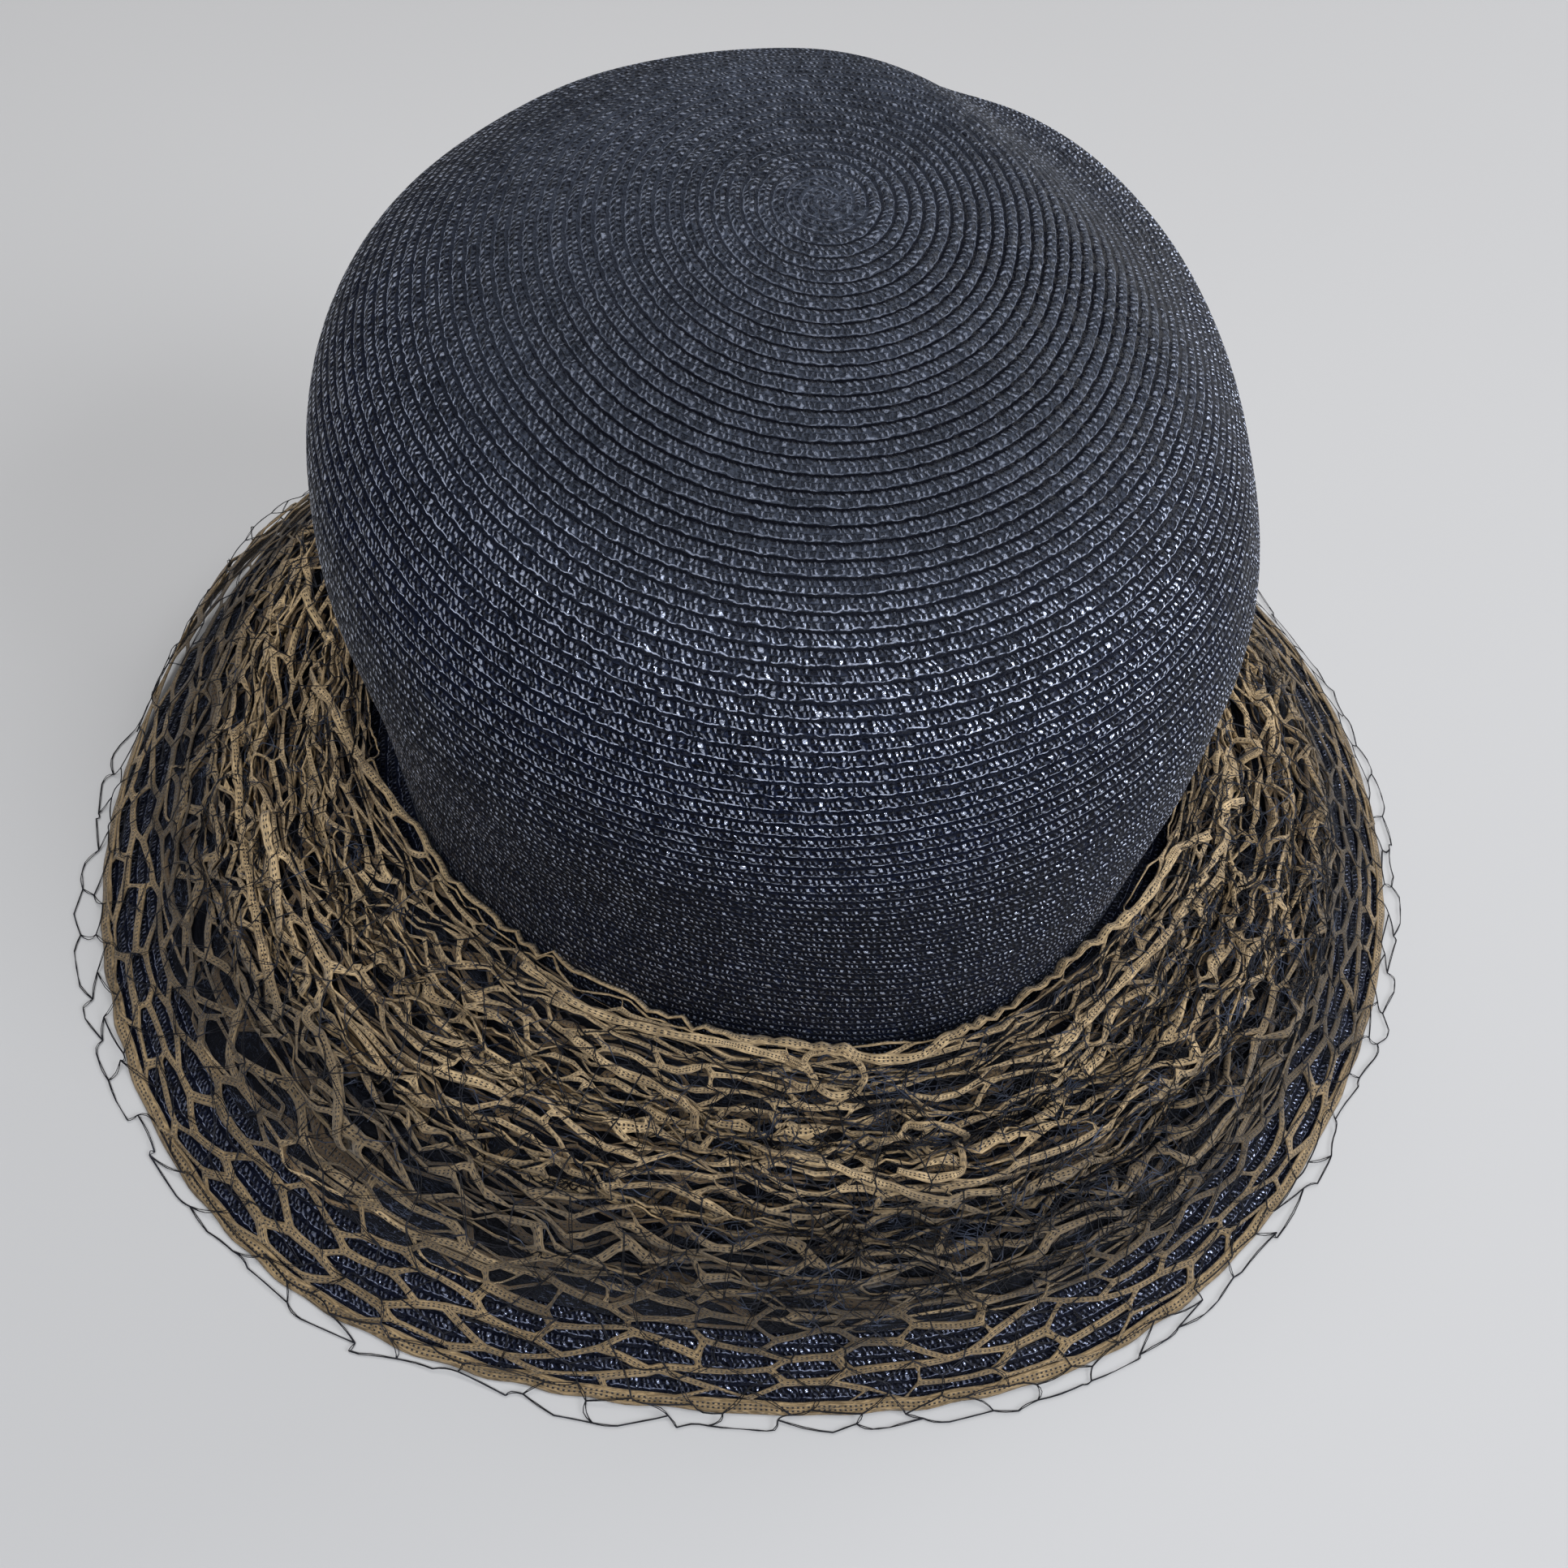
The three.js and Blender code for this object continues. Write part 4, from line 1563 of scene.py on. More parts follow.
@dataclass
class LaceWork:
    """Gathered honeycomb lace, the tulle under it and its loose fibres.

    Attributes:
        form: Form of the hat.
        thickness: Thickness of the lace in millimetres.
        foot: How far the lace stands off the brim between folds, in millimetres.
        gap_to_crown: Share of the way out on the brim where the top edge starts, every 45 degrees.
        top_edge: How far the top edge climbs up the crown, every 45 degrees, in millimetres.
        top_reach: Share of the gathered width over which that climb fades.
        arch_start: How far round the first arch the top edge lies, from 0 to 1.
        floor_gap: Least height above the floor in millimetres.
        smoothing: How far the corners of a laid net are smoothed, from 0 to 1.
        seam_turn: Angle on each side of a net's seam, in radians, where its ends are welded.
        seam_weld: Distance of the weld in metres.
        fibre_count: Number of loose fibres.
        fibre_steps: Points of a fibre.
        fibre_radius: Radius of a fibre in millimetres.
        fibre_length: Least and most length of a fibre in millimetres.
        crowded_share: Share of the fibres that lie together at one side.
        crowded_turns: Angles in degrees between which they lie.
        SPANS: Shares of the gathered width where the folds and the apron begin and end.
        APRON_OUT: Share of the way out where the apron ends.
        DRAWN: The ribbons drawn out of the net.
    """

    form: HatForm
    thickness: float = 0.3
    foot: float = 0.7
    gap_to_crown: Row = (0.02, 0.02, 0.02, 0.02, 0.05, -0.02, -0.03, -0.03)
    top_edge: Row = (1.5, 1.5, 1.5, 1.5, 1.5, 4.5, 4.0, 5.5)
    top_reach: float = 0.07
    arch_start: float = 0.2
    floor_gap: float = 0.6
    smoothing: float = 0.25
    seam_turn: float = 0.06
    seam_weld: float = 0.00002
    fibre_count: int = 2100
    fibre_steps: int = 12
    fibre_radius: float = 0.12
    fibre_length: Pair = (6.0, 30.0)
    crowded_share: float = 0.36
    crowded_turns: Pair = (272.0, 350.0)

    SPANS: ClassVar[Row] = (0.0, 0.4, 0.74, 0.93, 1.0)
    APRON_OUT: ClassVar[float] = 0.8
    DRAWN: ClassVar[tuple[DrawnRibbon, ...]] = (
        DrawnRibbon(
            (176, 189, 199, 210, 222, 235, 248, 259, 269, 277),
            (0.54, 0.23, 0.11, 0.03, 0, 0, 0, 0, 0.01, 0.02),
        ),
        DrawnRibbon(
            (269, 273, 280, 285.5, 289, 293, 296.5, 300.5),
            (0.01, 0.02, 0.02, 0.015, 0.04, 0.045, 0.025, 0.01),
        ),
        DrawnRibbon(
            (296.5, 306, 314, 320, 328, 336, 340, 344.5),
            (0.025, 0, 0, 0.01, 0.025, 0.04, 0.055, 0.155),
        ),
        DrawnRibbon(
            (244, 252, 261, 268.5, 273.5, 278, 280),
            (0.05, 0.075, 0.06, 0.045, 0.045, 0.055, 0.075), 1.6,
        ),
        DrawnRibbon(
            (280.2, 281.5, 283, 286, 287.5, 287, 284.5, 282, 280.5, 280.2),
            (0.06, 0.035, 0.025, 0.025, 0.06, 0.12, 0.165, 0.16, 0.11, 0.06), 1.5,
        ),
        DrawnRibbon(
            (206, 215, 220.5, 224, 227, 230, 234, 236.5, 240),
            (0.57, 0.59, 0.64, 0.64, 0.79, 0.8, 0.82, 0.85, 0.9),
        ),
        DrawnRibbon((191, 200, 208, 216, 221.5, 226), (0.81, 0.79, 0.79, 0.8, 0.82, 0.84)),
        DrawnRibbon(
            (346, 338, 330.5, 323, 318.5, 314, 306),
            (0.23, 0.175, 0.165, 0.15, 0.15, 0.16, 0.19), 1.7,
        ),
        DrawnRibbon((366, 364, 360, 350, 346), (0.23, 0.49, 0.47, 0.21, 0.23), 1.7),
        DrawnRibbon(
            (285, 288.5, 292, 295, 294, 291, 288),
            (0.31, 0.27, 0.26, 0.31, 0.53, 0.565, 0.54), 1.5,
        ),
        DrawnRibbon((252, 259, 267.5, 272, 280.5, 288), (0.17, 0.21, 0.26, 0.46, 0.49, 0.28), 1.7),
        DrawnRibbon((276, 280, 283, 287, 290, 297), (0.5, 0.52, 0.55, 0.575, 0.61, 0.63), 1.7),
    )

    def gathered(self, azimuth: Array, across: Array) -> Array:
        """The line over the three folds, from the crown to the single layer.

        Args:
            azimuth: Angles in radians.
            across: Shares of the flat width.

        Returns:
            Points in millimetres.
        """
        form = self.form
        leans = read_round(self.gap_to_crown, azimuth)
        out = np.zeros_like(across)
        lift = np.full_like(across, self.foot)
        spans = self.SPANS
        starts = (self.arch_start, 0.0, 0.0)
        fullness = 0.9
        for fold, low, high, first in zip(form.folds, spans, spans[1:], starts):
            here = (across >= low) & (across <= high)
            swing = (first + (1 - first) * np.clip((across - low) / (high - low), 0, 1)) * math.pi
            inner = leans if low == 0 else read_round(fold.inner, azimuth)
            outer = read_round(fold.outer, azimuth)
            arch = inner + (outer - inner) * (1 - np.cos(swing)) / 2
            rise = self.foot + form.fold_crest(fold, azimuth) * np.sin(swing) ** fullness
            out = np.where(here, arch, out)
            lift = np.where(here, rise, lift)
        outer = read_round(form.folds[-1].outer, azimuth)
        apron_starts, apron_ends = spans[-2:]
        apron_rise = 0.6
        on_apron = across > apron_starts
        t = np.clip((across - apron_starts) / (apron_ends - apron_starts), 0, 1)
        out = np.where(on_apron, outer + (self.APRON_OUT - outer) * t, out)
        lift = np.where(on_apron, self.foot + apron_rise * t, lift)
        lift = lift + read_round(self.top_edge, azimuth) * np.exp(-((across / self.top_reach) ** 2))
        return form.over_brim(azimuth, out, lift)

    def crumpled(self, seed: int, base: float, depth: float, buckles: float, clear: float) -> Surface:
        """The gathered line with small buckles.

        Args:
            seed: Seed of the buckles.
            base: How far the sheet stands off the line, in millimetres.
            depth: Depth of a buckle in millimetres.
            buckles: Number of buckles across.
            clear: Least height above the brim, in millimetres.

        Returns:
            The surface.
        """
        wander = Waves(seed, (2, 22), (0.2, 2.0))
        swell = Waves(seed + 1, (3, 30), (0.5, 3.0))
        fine = Waves(seed + 2, (60, 170), (8.0, 22.0))
        drift = Waves(seed + 3, (5, 40), (1.0, 6.0))
        drift_turn = 0.012
        wander_turn = 1.9
        mean_swell, swell_change = 0.8, 0.35
        fine_depth = 0.6
        hem, hem_depth = 0.12, 0.25
        base_hem, base_left = 0.1, 0.12

        def surface(azimuth: Array, across: Array) -> Array:
            """Points of the crumpled sheet.

            Args:
                azimuth: Angles in radians.
                across: Shares of the flat width.

            Returns:
                Points in millimetres.
            """
            azimuth = azimuth + drift_turn * drift.at(azimuth, across)
            line = self.gathered(azimuth, across)
            normal = self.form.normals(self.gathered, azimuth, across)
            wave = np.sin(FULL_TURN * buckles * across + wander_turn * wander.at(azimuth, across))
            wave = depth * wave * (mean_swell + swell_change * swell.at(azimuth, across))
            fade = np.clip((1 - across) / hem, hem_depth, 1)
            lift = base * np.clip((1 - across) / base_hem, base_left, 1) + fade * wave
            lift = lift + fade * fine_depth * fine.at(azimuth, across)
            points = line + lift[..., None] * normal
            points[..., 2] = np.maximum(points[..., 2], self.floor_gap)
            points = self._clear_of_crown(points, azimuth)
            return self._clear_of_brim(points, azimuth, clear)

        return surface

    def _clear_of_crown(self, points: Array, azimuth: Array) -> Array:
        """Keeps points outside the crown's wall, which widens upwards.

        Args:
            points: Points in millimetres.
            azimuth: Their angles.

        Returns:
            The points, moved out where they were inside the crown.
        """
        form = self.form
        gap = 0.8
        widening = 0.045
        zero = np.zeros_like(azimuth)
        opening = form.over_brim(azimuth, zero, zero)
        above = np.maximum(points[..., 2] - form.base_height, 0)
        least = np.linalg.norm(opening[..., :2], axis=-1) + gap + widening * above
        reach = np.linalg.norm(points[..., :2], axis=-1)
        push = np.maximum(least / np.maximum(reach, TINY), 1.0)
        points[..., :2] *= push[..., None]
        return points

    def _clear_of_brim(self, points: Array, azimuth: Array, clear: float) -> Array:
        """Keeps points above the brim's wall.

        Args:
            points: Points in millimetres.
            azimuth: Their angles.
            clear: Least height above the brim, in millimetres.

        Returns:
            The points, lifted where they were too low.
        """
        start, end = (
            np.linalg.norm(self.form.brim(azimuth, np.full_like(azimuth, out))[..., :2], axis=-1)
            for out in (0.0, 1.0)
        )
        reach = np.linalg.norm(points[..., :2], axis=-1)
        out = np.clip((reach - start) / (end - start), 0, 1)
        points[..., 2] = np.maximum(points[..., 2], self.form.brim(azimuth, out)[..., 2] + clear)
        return points

    def _net(
        self, cut: NetCut, surface: Surface, name: str, finish: Finish,
    ) -> Piece:
        """Lays a flat net on a surface.

        Args:
            cut: The flat net.
            surface: The surface, by angle and share of the width.
            name: Name of the piece.
            finish: Its material.

        Returns:
            The piece.
        """
        bm = cut.ribbons()
        flat = flat_places(bm)
        area = sum(face.calc_area() for face in bm.faces)
        azimuth = flat[:, 0] / cut.length * FULL_TURN
        across = np.clip(cut.bunched(flat) / cut.width, 0, 1)
        spread(bm, self.form.place(surface(azimuth, across)))
        from_seam = np.abs((azimuth + math.pi) % FULL_TURN - math.pi)
        at_seam = [vertex for vertex, turn in zip(bm.verts, from_seam.tolist()) if turn < self.seam_turn]
        bmesh.ops.remove_doubles(bm, verts=at_seam, dist=self.seam_weld)
        bmesh.ops.smooth_vert(
            bm, verts=bm.verts, factor=self.smoothing, use_axis_x=True, use_axis_y=True, use_axis_z=True
        )
        bmesh.ops.reverse_faces(bm, faces=bm.faces)
        piece = piece_from(bm, name, finish)
        thicken(piece, self.thickness * MM)
        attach(piece, "root")
        area * MM * MM
        return piece

    def upper(self, finish: Finish) -> Piece:
        """Top layer of the gathered lace.

        Args:
            finish: Material of the lace.

        Returns:
            The piece.
        """
        drawn = self.drawn_ribbons(finish)
        cut = NetCut(
            columns=50, rows=28, length=740.0, width=100.0, lay=CellLay.LENS, ribbon=1.12,
            shake=(3.2, 0.65), seed=11, bunch=2.6, bunch_pitch=19.5,
        )
        surface = self.crumpled(UPPER_SEED, base=0.6, depth=1.5, buckles=9.0, clear=0.9)
        piece = self._net(cut, surface, "lace_gathers_upper", finish)
        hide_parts("lace_fold_upper", "lace_fold_middle", "lace_fold_lower")
        return piece

    def drawn_ribbons(self, finish: Finish, steps: int = 8) -> Piece:
        """Lays the drawn ribbons on the gathers.

        Args:
            finish: Material of the lace.
            steps: Facets from one knot to the next.

        Returns:
            The piece.
        """
        form = self.form
        surface = self.crumpled(UPPER_SEED, base=1.9, depth=1.0, buckles=9.0, clear=1.3)
        bm = bmesh.new()
        layer = bm.loops.layers.uv.new("ribbon")
        points = []
        faces = 0
        pinch, pinches = 0.18, 61
        for ribbon in self.DRAWN:
            knots = along_points(np.c_[np.radians(ribbon.turns), ribbon.across], steps)
            azimuth, across = knots[:, 0], np.maximum(knots[:, 1], 0)
            count = len(azimuth) - 1
            middle = surface(azimuth, across)
            ahead = np.gradient(middle, axis=0)
            side = np.cross(form.normals(self.gathered, azimuth, across), ahead)
            side = side / np.linalg.norm(side, axis=1, keepdims=True)
            matrix = Matrix.Translation((0.5, 0.0, 0.0))
            bmesh.ops.create_grid(bm, x_segments=count, y_segments=2, size=0.5, matrix=matrix)
            length = float(np.linalg.norm(np.diff(middle, axis=0), axis=1).sum())
            for face in bm.faces[:][faces:]:
                for loop in face.loops:
                    loop[layer].uv = (loop.vert.co.x * length, abs(loop.vert.co.y * 2))
            faces = len(bm.faces)
            flat = np.array([vertex.co[:] for vertex in bm.verts[:][len(points):]])
            step = np.rint(flat[:, 0] * count).astype(int)
            waist = ribbon.width * (1 + pinch * np.sin(azimuth * pinches))
            placed = middle[step] + side[step] * (flat[:, 1] * waist[step])[:, None]
            points.extend(placed.tolist())
        spread(bm, form.place(np.array(points)))
        piece = piece_from(bm, "lace_drawn_ribbons", finish)
        thicken(piece, self.thickness * MM)
        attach(piece, "root")
        return piece

    def under(self, finish: Finish) -> Piece:
        """Under layer of the gathered lace.

        Args:
            finish: Material of the lace.

        Returns:
            The piece.
        """
        cut = NetCut(
            columns=44, rows=20, length=740.0, width=98.0, lay=CellLay.LENS, ribbon=1.5,
            shake=(3.2, 0.8), seed=31, bunch=2.8, bunch_pitch=23.0,
        )
        surface = self.crumpled(seed=41, base=-1.8, depth=1.3, buckles=8.0, clear=0.5)
        return self._net(cut, surface, "lace_gathers_under", finish)

    def brim_layer(self, finish: Finish) -> Piece:
        """Single layer that lies on the outer brim.

        Args:
            finish: Material of the lace.

        Returns:
            The piece.
        """
        cut = NetCut(
            columns=66, rows=4, length=920.0, width=21.0, lay=CellLay.LENS, ribbon=1.4,
            shake=(2.2, 0.7), seed=51,
        )
        bend = Waves(53, (6, 40), (0.3, 1.5))
        stray = Waves(54, (4, 26), (0.2, 1.2))

        inner, outer = 0.7, 0.995
        stray_out = 0.02
        lie, buckle, inner_rise = 0.9, 0.35, 0.8
        least_lift, least_height = 0.45, 0.35

        def surface(azimuth: Array, across: Array) -> Array:
            """Points of the single layer.

            Args:
                azimuth: Angles in radians.
                across: Shares of the flat width.

            Returns:
                Points in millimetres.
            """
            out = inner + (outer - inner) * across
            out = out + stray_out * stray.at(azimuth, across) * np.sin(math.pi * across)
            lift = lie + buckle * bend.at(azimuth, across) + inner_rise * (1 - across)
            points = self.form.over_brim(azimuth, out, np.maximum(lift, least_lift))
            points[..., 2] = np.maximum(points[..., 2], least_height)
            return points

        piece = self._net(cut, surface, "lace_brim", finish)
        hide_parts("lace_cover")
        return piece

    def edge_ribbon(self, finish: Finish) -> Piece:
        """Ribbon that runs along the very rim.

        Args:
            finish: Material of the lace.

        Returns:
            The piece.
        """
        columns, rows = 420, 4
        rim_length = 940.0
        inner, width, sway_out = 0.972, 0.034, 0.003
        lie, slope, least_height = 0.95, 0.3, 0.4
        bm, flat = unit_grid(columns, rows)
        write_uv(bm, "ribbon", lambda at: (at.x * rim_length, abs(at.y * 2 - 1)))
        azimuth = flat[:, 0] * FULL_TURN
        sway = Waves(61, (20, 90), (0.0, 0.3)).at(azimuth, flat[:, 1])
        out = inner + width * flat[:, 1] + sway_out * sway
        points = self.form.over_brim(azimuth, out, lie - slope * flat[:, 1])
        points[:, 2] = np.maximum(points[:, 2], least_height)
        close_round(bm, self.form.place(points))
        piece = piece_from(bm, "lace_edge_ribbon", finish)
        thicken(piece, self.thickness * MM)
        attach(piece, "root")
        return piece

    def tulle(self, finish: Finish) -> Piece:
        """Crumpled black tulle under the lace.

        Args:
            finish: Material of the tulle.

        Returns:
            The piece.
        """
        columns, rows = 300, 72
        length, width = 700.0, 84.0
        bm, flat = unit_grid(columns, rows)
        write_uv(bm, "cloth", lambda at: (at.x * length, at.y * width))
        surface = self.crumpled(seed=71, base=-3.4, depth=1.1, buckles=7.0, clear=0.3)
        close_round(bm, self.form.place(surface(flat[:, 0] * FULL_TURN, flat[:, 1])))
        piece = piece_from(bm, "tulle_gathers", finish)
        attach(piece, "root")
        return piece

    def fibres(self, finish: Finish, seed: int = 81) -> Piece:
        """Loose fibres of the tulle, half of them over the lace and half of them in it.

        Args:
            finish: Material of the fibres.
            seed: Seed of their places.

        Returns:
            The piece.
        """
        rng = np.random.default_rng(seed)
        steps = np.linspace(0, 1, self.fibre_steps)
        over, within = 1.7, -0.6
        bow_height = 0.5
        first, last = 0.03, 0.99
        half = self.fibre_count // 2
        lines = []
        for base, count in ((over, half), (within, self.fibre_count - half)):
            azimuth, across = self._fibre_ways(rng, steps, count)
            surface = self.crumpled(UPPER_SEED, base=base, depth=1.1, buckles=9.0, clear=0.9)
            points = surface(azimuth.ravel(), np.clip(across.ravel(), first, last))
            rise = bow_height * np.sin(steps * math.pi * rng.uniform(1, 3, (count, 1)))
            points[:, 2] += rise.ravel()
            lines.extend(self.form.place(points).reshape(count, -1, 3))
        piece = threads(lines, self.fibre_radius * MM, "tulle_fibres", finish)
        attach(piece, "root")
        return piece

    def _fibre_ways(self, rng: np.random.Generator, steps: Array, count: int) -> tuple[Array, Array]:
        """Ways of loose fibres on the flat cloth.

        Args:
            rng: Source of the random numbers.
            steps: Shares of the way along a fibre.
            count: Number of fibres.

        Returns:
            Angles in radians and shares of the gathered width, one row for each fibre.
        """
        reach, width = 112.0, 92.0
        lean_deg = 38
        bow_share, curl_share = 0.06, 0.013
        each = (count, 1)
        length = rng.uniform(*self.fibre_length, each)
        heading = np.radians(rng.normal(0, lean_deg, each))
        crowded = rng.random(each) < self.crowded_share
        low_turn, high_turn = (math.radians(angle) for angle in self.crowded_turns)
        start = np.where(crowded, rng.uniform(low_turn, high_turn, each), rng.uniform(0, FULL_TURN, each))
        low = rng.uniform(0.06, 0.98, each)
        bow = rng.normal(0, bow_share, each)
        curl = curl_share * np.sin(steps * rng.uniform(8, 22, each) + start * 9)
        azimuth = start + steps * length * np.cos(heading) / reach + curl[:, ::-1] * 0.6
        across = low + steps * length * np.sin(heading) / width + bow * np.sin(steps * math.pi) + curl
        return azimuth, across


# Veil


@dataclass
class VeilWork:
    """Fine net over lace and rim.

    Attributes:
        form: Form of the hat.
        thread: Thickness of a thread in millimetres.
        cut: The flat net.
        steps: Points of each thread from one knot to the next.
        bend: How far the sides of a cell bend at random, in millimetres.
        twist_gap: Least and most distance of the two threads of a side, in millimetres.
        knot: How much thicker a thread is at a knot.
        hang_from: Share of the width past which the net hangs over the rim.
        PROFILE_OUT: Shares of the way out on the brim, in even steps of the width.
        PROFILE_LIFT: Heights above the brim there, in millimetres.
    """

    form: HatForm
    thread: float = 0.165
    cut: NetCut = field(
        default_factory=lambda: NetCut(
            columns=82, rows=10, length=940.0, width=74.0, lay=CellLay.BRICK, ribbon=0.3,
            shake=(2.6, 1.6), seed=91,
        )
    )
    steps: int = 5
    bend: float = 0.5
    twist_gap: Pair = (0.05, 0.4)
    knot: float = 1.8
    hang_from: float = 0.82

    PROFILE_OUT: ClassVar[Row] = (0.05, 0.1, 0.2, 0.42, 0.56, 0.76, 0.88, 0.985, 1.05)
    PROFILE_LIFT: ClassVar[Row] = (13.0, 14.6, 14.8, 13.0, 10.2, 4.6, 2.8, 1.9, 1.7)

    def surface(self, azimuth: Array, across: Array) -> Array:
        """The veil's lie, from the crown to just past the rim.

        Args:
            azimuth: Angles in radians.
            across: Shares of the flat width.

        Returns:
            Points in millimetres.
        """
        knots = np.linspace(0, 1, len(self.PROFILE_OUT))
        out = np.interp(across, knots, self.PROFILE_OUT)
        lift = np.interp(across, knots, self.PROFILE_LIFT)
        sag = Waves(95, (9, 34), (1.0, 4.0)).at(azimuth, across)
        hang = Waves(97, (3, 24), (0.0, 0.6)).at(azimuth, across)
        past = np.clip((across - self.hang_from) / (1 - self.hang_from), 0, 1)
        hang_out, hang_mean, furthest = 0.022, 0.3, 1.09
        sag_depth, sag_loss = 0.7, 0.6
        least_lift, least_height = 0.8, 0.5
        out = out + past * hang_out * (hang + hang_mean)
        lift = np.maximum(lift + sag_depth * sag * (1 - sag_loss * past), least_lift)
        points = self.form.over_brim(azimuth, np.minimum(out, furthest), lift)
        points[..., 2] = np.maximum(points[..., 2], least_height)
        return points

    def _twists(self, seed: int) -> list[Array]:
        """The two threads that every side of a cell is twisted from.

        Args:
            seed: Seed of the threads' ways.

        Returns:
            The points of each thread, in metres.
        """
        cut = self.cut
        rng = np.random.default_rng(seed)
        bm = cut.cells()
        ends = np.array([[vertex.co[:2] for vertex in edge.verts] for edge in bm.edges])
        bm.free()
        steps = np.linspace(0, 1, self.steps)[None, :, None]
        middle = np.sin(math.pi * steps)
        lines = ends[:, :1] * (1 - steps) + ends[:, 1:] * steps
        side = (ends[:, 1] - ends[:, 0])[:, None, ::-1] * (1, -1)
        side = side / np.maximum(np.linalg.norm(side, axis=-1, keepdims=True), TINY)
        lines = lines + side * middle * rng.normal(0, self.bend, (len(lines), 1, 1))
        made = []
        for way in (-1, 1):
            gap = way * rng.uniform(*self.twist_gap, (len(lines), 1, 1)) * middle
            flat = lines + side * gap
            azimuth = flat[..., 0].ravel() / cut.length * FULL_TURN
            across = np.clip(flat[..., 1].ravel() / cut.width, 0, 1)
            placed = self.form.place(self.surface(azimuth, across))
            made.extend(placed.reshape(len(lines), -1, 3))
        return made

    def build(self, finish: Finish) -> Piece:
        """Builds the veil.

        Args:
            finish: Material of the thread.

        Returns:
            The veil.
        """
        piece = threads(self._twists(seed=101), self.thread / 2 * MM, "veil_net", finish, self.knot)
        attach(piece, "root")
        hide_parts("veil")
        return piece


# Studio


@dataclass(frozen=True)
class Softbox:
    """One soft lamp of the studio.

    Attributes:
        name: Name of the lamp.
        place: Where it hangs, in metres.
        size: Width and height in metres.
        power: Power in watts.
        colour: Colour of the light.
        glossy: Whether shiny surfaces mirror the lamp.
    """

    name: str
    place: Triple
    size: Pair
    power: float
    colour: Triple = (1.0, 1.0, 1.0)
    glossy: bool = True

    def hang(self, target: Vector) -> None:
        """Hangs the lamp and turns it towards a point.

        Args:
            target: The point, in metres.
        """
        lamp = bpy.data.lights.new(self.name, "AREA")
        lamp.shape = "RECTANGLE"
        lamp.size, lamp.size_y = self.size
        lamp.energy = self.power
        lamp.color = self.colour
        holder = bpy.data.objects.new(self.name, lamp)
        holder.location = self.place
        holder.visible_glossy = self.glossy
        holder.rotation_euler = (target - Vector(self.place)).to_track_quat("-Z", "Y").to_euler()
        bpy.context.scene.collection.objects.link(holder)


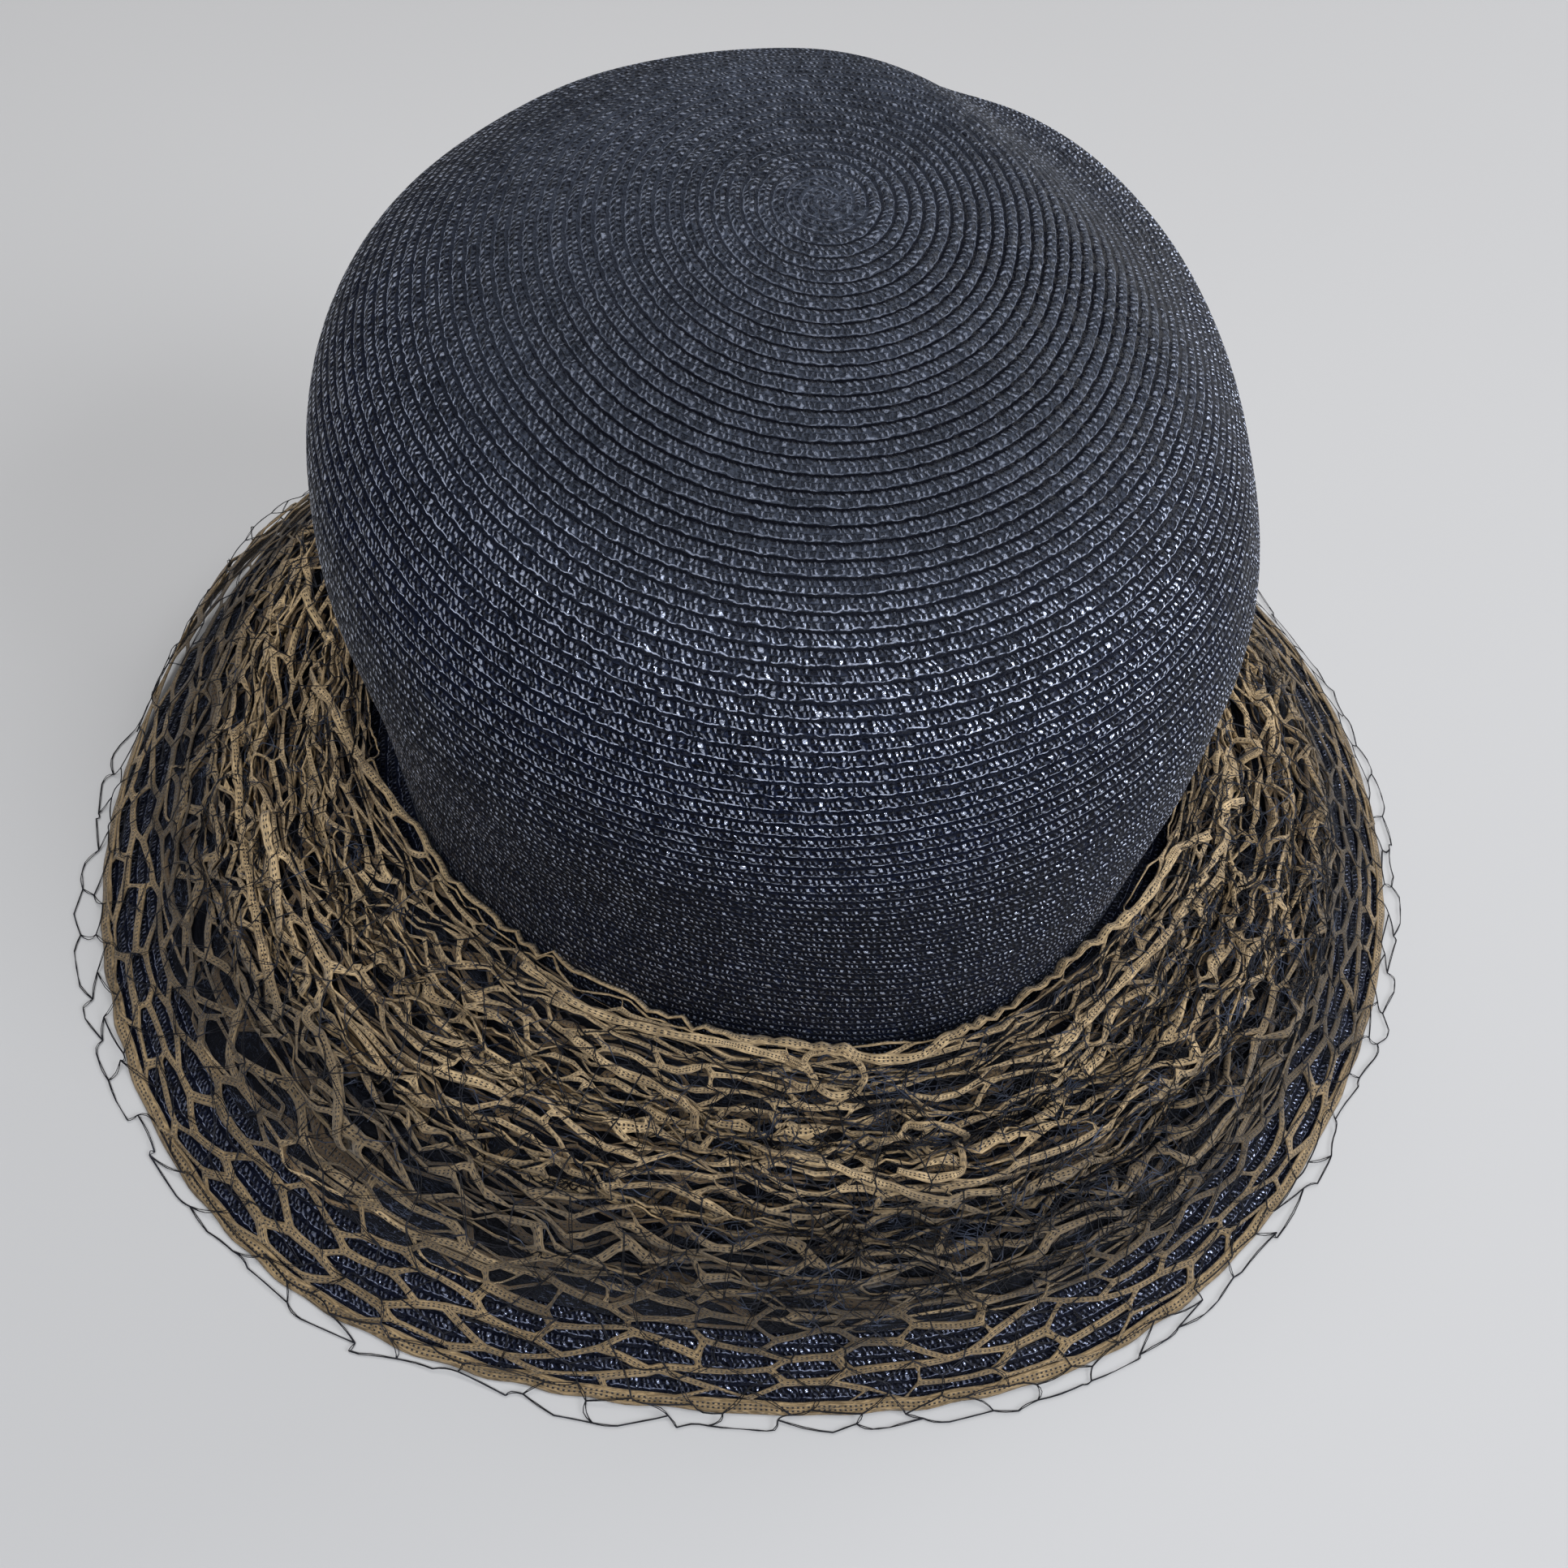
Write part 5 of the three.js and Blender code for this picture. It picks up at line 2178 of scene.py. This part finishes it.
@dataclass
class Studio:
    """Floor, light and camera.

    Attributes:
        target: Point that the camera looks at, in metres.
        distance: Distance of the camera from it.
        elevation_deg: Height of the view above the horizon.
        roll_deg: How far the camera is turned about its line of sight.
        field_deg: Angle of view of the square picture.
        floor_size: Side of the floor in metres.
        lit_point: Point that the lamps are turned to, in metres.
        softboxes: The lamps.
        ambient: Colour of the light from all round.
        ambient_strength: Its strength.
    """

    target: Triple = (0.003785, -0.05372, 0.06)
    distance: float = 0.2969
    elevation_deg: float = 49.5
    roll_deg: float = 7.2
    field_deg: float = 53.9
    floor_size: float = 12.0
    lit_point: Triple = (0.0, 0.0, 0.07)
    ambient: Triple = (0.93, 0.95, 1.0)
    ambient_strength: float = 0.2
    softboxes: tuple[Softbox, ...] = (
        Softbox("overhead_softbox", (-0.2, 0.25, 1.3), (0.9, 0.9), 8.0, glossy=False),
        Softbox("front_softbox", (-0.05, -0.72, 1.15), (0.55, 0.26), 9.0, (0.87, 0.92, 1.0)),
        Softbox("right_window", (1.7, -0.7, 1.22), (1.27, 1.0), 34.0, (0.9, 0.94, 1.0)),
        Softbox("back_window", (1.3, 1.6, 1.05), (1.4, 1.2), 22.0, (0.94, 0.96, 1.0)),
    )

    def floor(self, finish: Finish) -> Piece:
        """Lays the floor.

        Args:
            finish: Material of the floor.

        Returns:
            The floor.
        """
        bm = bmesh.new()
        bmesh.ops.create_grid(bm, x_segments=1, y_segments=1, size=self.floor_size / 2)
        floor = piece_from(bm, "studio_floor", finish, smooth=False)
        return floor

    def camera(self) -> Piece:
        """Sets the camera at the photograph's viewing angle.

        Returns:
            The camera.
        """
        rise = math.radians(self.elevation_deg)
        roll = math.radians(self.roll_deg)
        ahead = Vector((0.0, math.cos(rise), -math.sin(rise)))
        right = Vector((1.0, 0.0, 0.0))
        up = right.cross(ahead)
        turned_right = math.cos(roll) * right + math.sin(roll) * up
        turned_up = -math.sin(roll) * right + math.cos(roll) * up
        lens = bpy.data.cameras.new("camera")
        lens.sensor_fit = "HORIZONTAL"
        lens.angle = math.radians(self.field_deg)
        nearest = 0.01
        lens.clip_start = nearest
        holder = bpy.data.objects.new("camera", lens)
        axes = Matrix((turned_right, turned_up, -ahead)).transposed().to_4x4()
        holder.matrix_world = Matrix.Translation(Vector(self.target) - self.distance * ahead) @ axes
        bpy.context.scene.collection.objects.link(holder)
        bpy.context.scene.camera = holder
        return holder

    def light(self) -> None:
        """Hangs the lamps and sets the light from all round."""
        world = bpy.data.worlds.new("studio_air")
        world.use_nodes = True
        sky = world.node_tree.nodes["Background"]
        sky.inputs[0].default_value = (*self.ambient, 1.0)
        sky.inputs[1].default_value = self.ambient_strength
        bpy.context.scene.world = world
        for softbox in self.softboxes:
            softbox.hang(Vector(self.lit_point))
        bpy.context.scene.view_settings.view_transform = "Standard"


def report(piece: Piece) -> None:
    """Logs a finished piece."""
    LOG.info("%s: %d faces", piece.name, len(piece.data.polygons))


def main() -> None:
    """Builds the hat and its studio in order."""
    logging.basicConfig(level=logging.INFO, format="%(message)s")
    form = HatForm()
    studio = Studio()
    studio.camera()
    straw = StrawWork(form)
    report(straw.crown(StrawBraid("crown_straw").build()))
    brim_straw = StrawBraid(
        "brim_straw", strand=(0.0045, 0.006, 0.014), glint=(0.32, 0.35, 0.47), wall_rows=(-3.0, -1.0)
    )
    report(straw.brim(brim_straw.build()))
    lace = LaceWork(form)
    tan = WovenLace("lace_tan").build()
    # The under layer is a darker copy of the tan lace, painted shade of the layer above it.
    shaded_lace = WovenLace("lace_shade", light=(0.22, 0.14, 0.066), dark=(0.06, 0.036, 0.016)).build()
    report(lace.tulle(Tulle("black_tulle").build()))
    report(lace.under(shaded_lace))
    report(lace.upper(tan))
    dusky = WovenLace("lace_dusky", light=(0.36, 0.25, 0.128), dark=(0.055, 0.035, 0.016)).build()
    report(lace.edge_ribbon(dusky))
    report(lace.brim_layer(dusky))
    report(lace.fibres(BlackNet("tulle_fibre", worn=(0.055, 0.066, 0.098)).build()))
    report(VeilWork(form).build(BlackNet("veil_thread").build()))
    studio.floor(PaleFloor().build())
    studio.light()


if __name__ == "__main__":
    main()
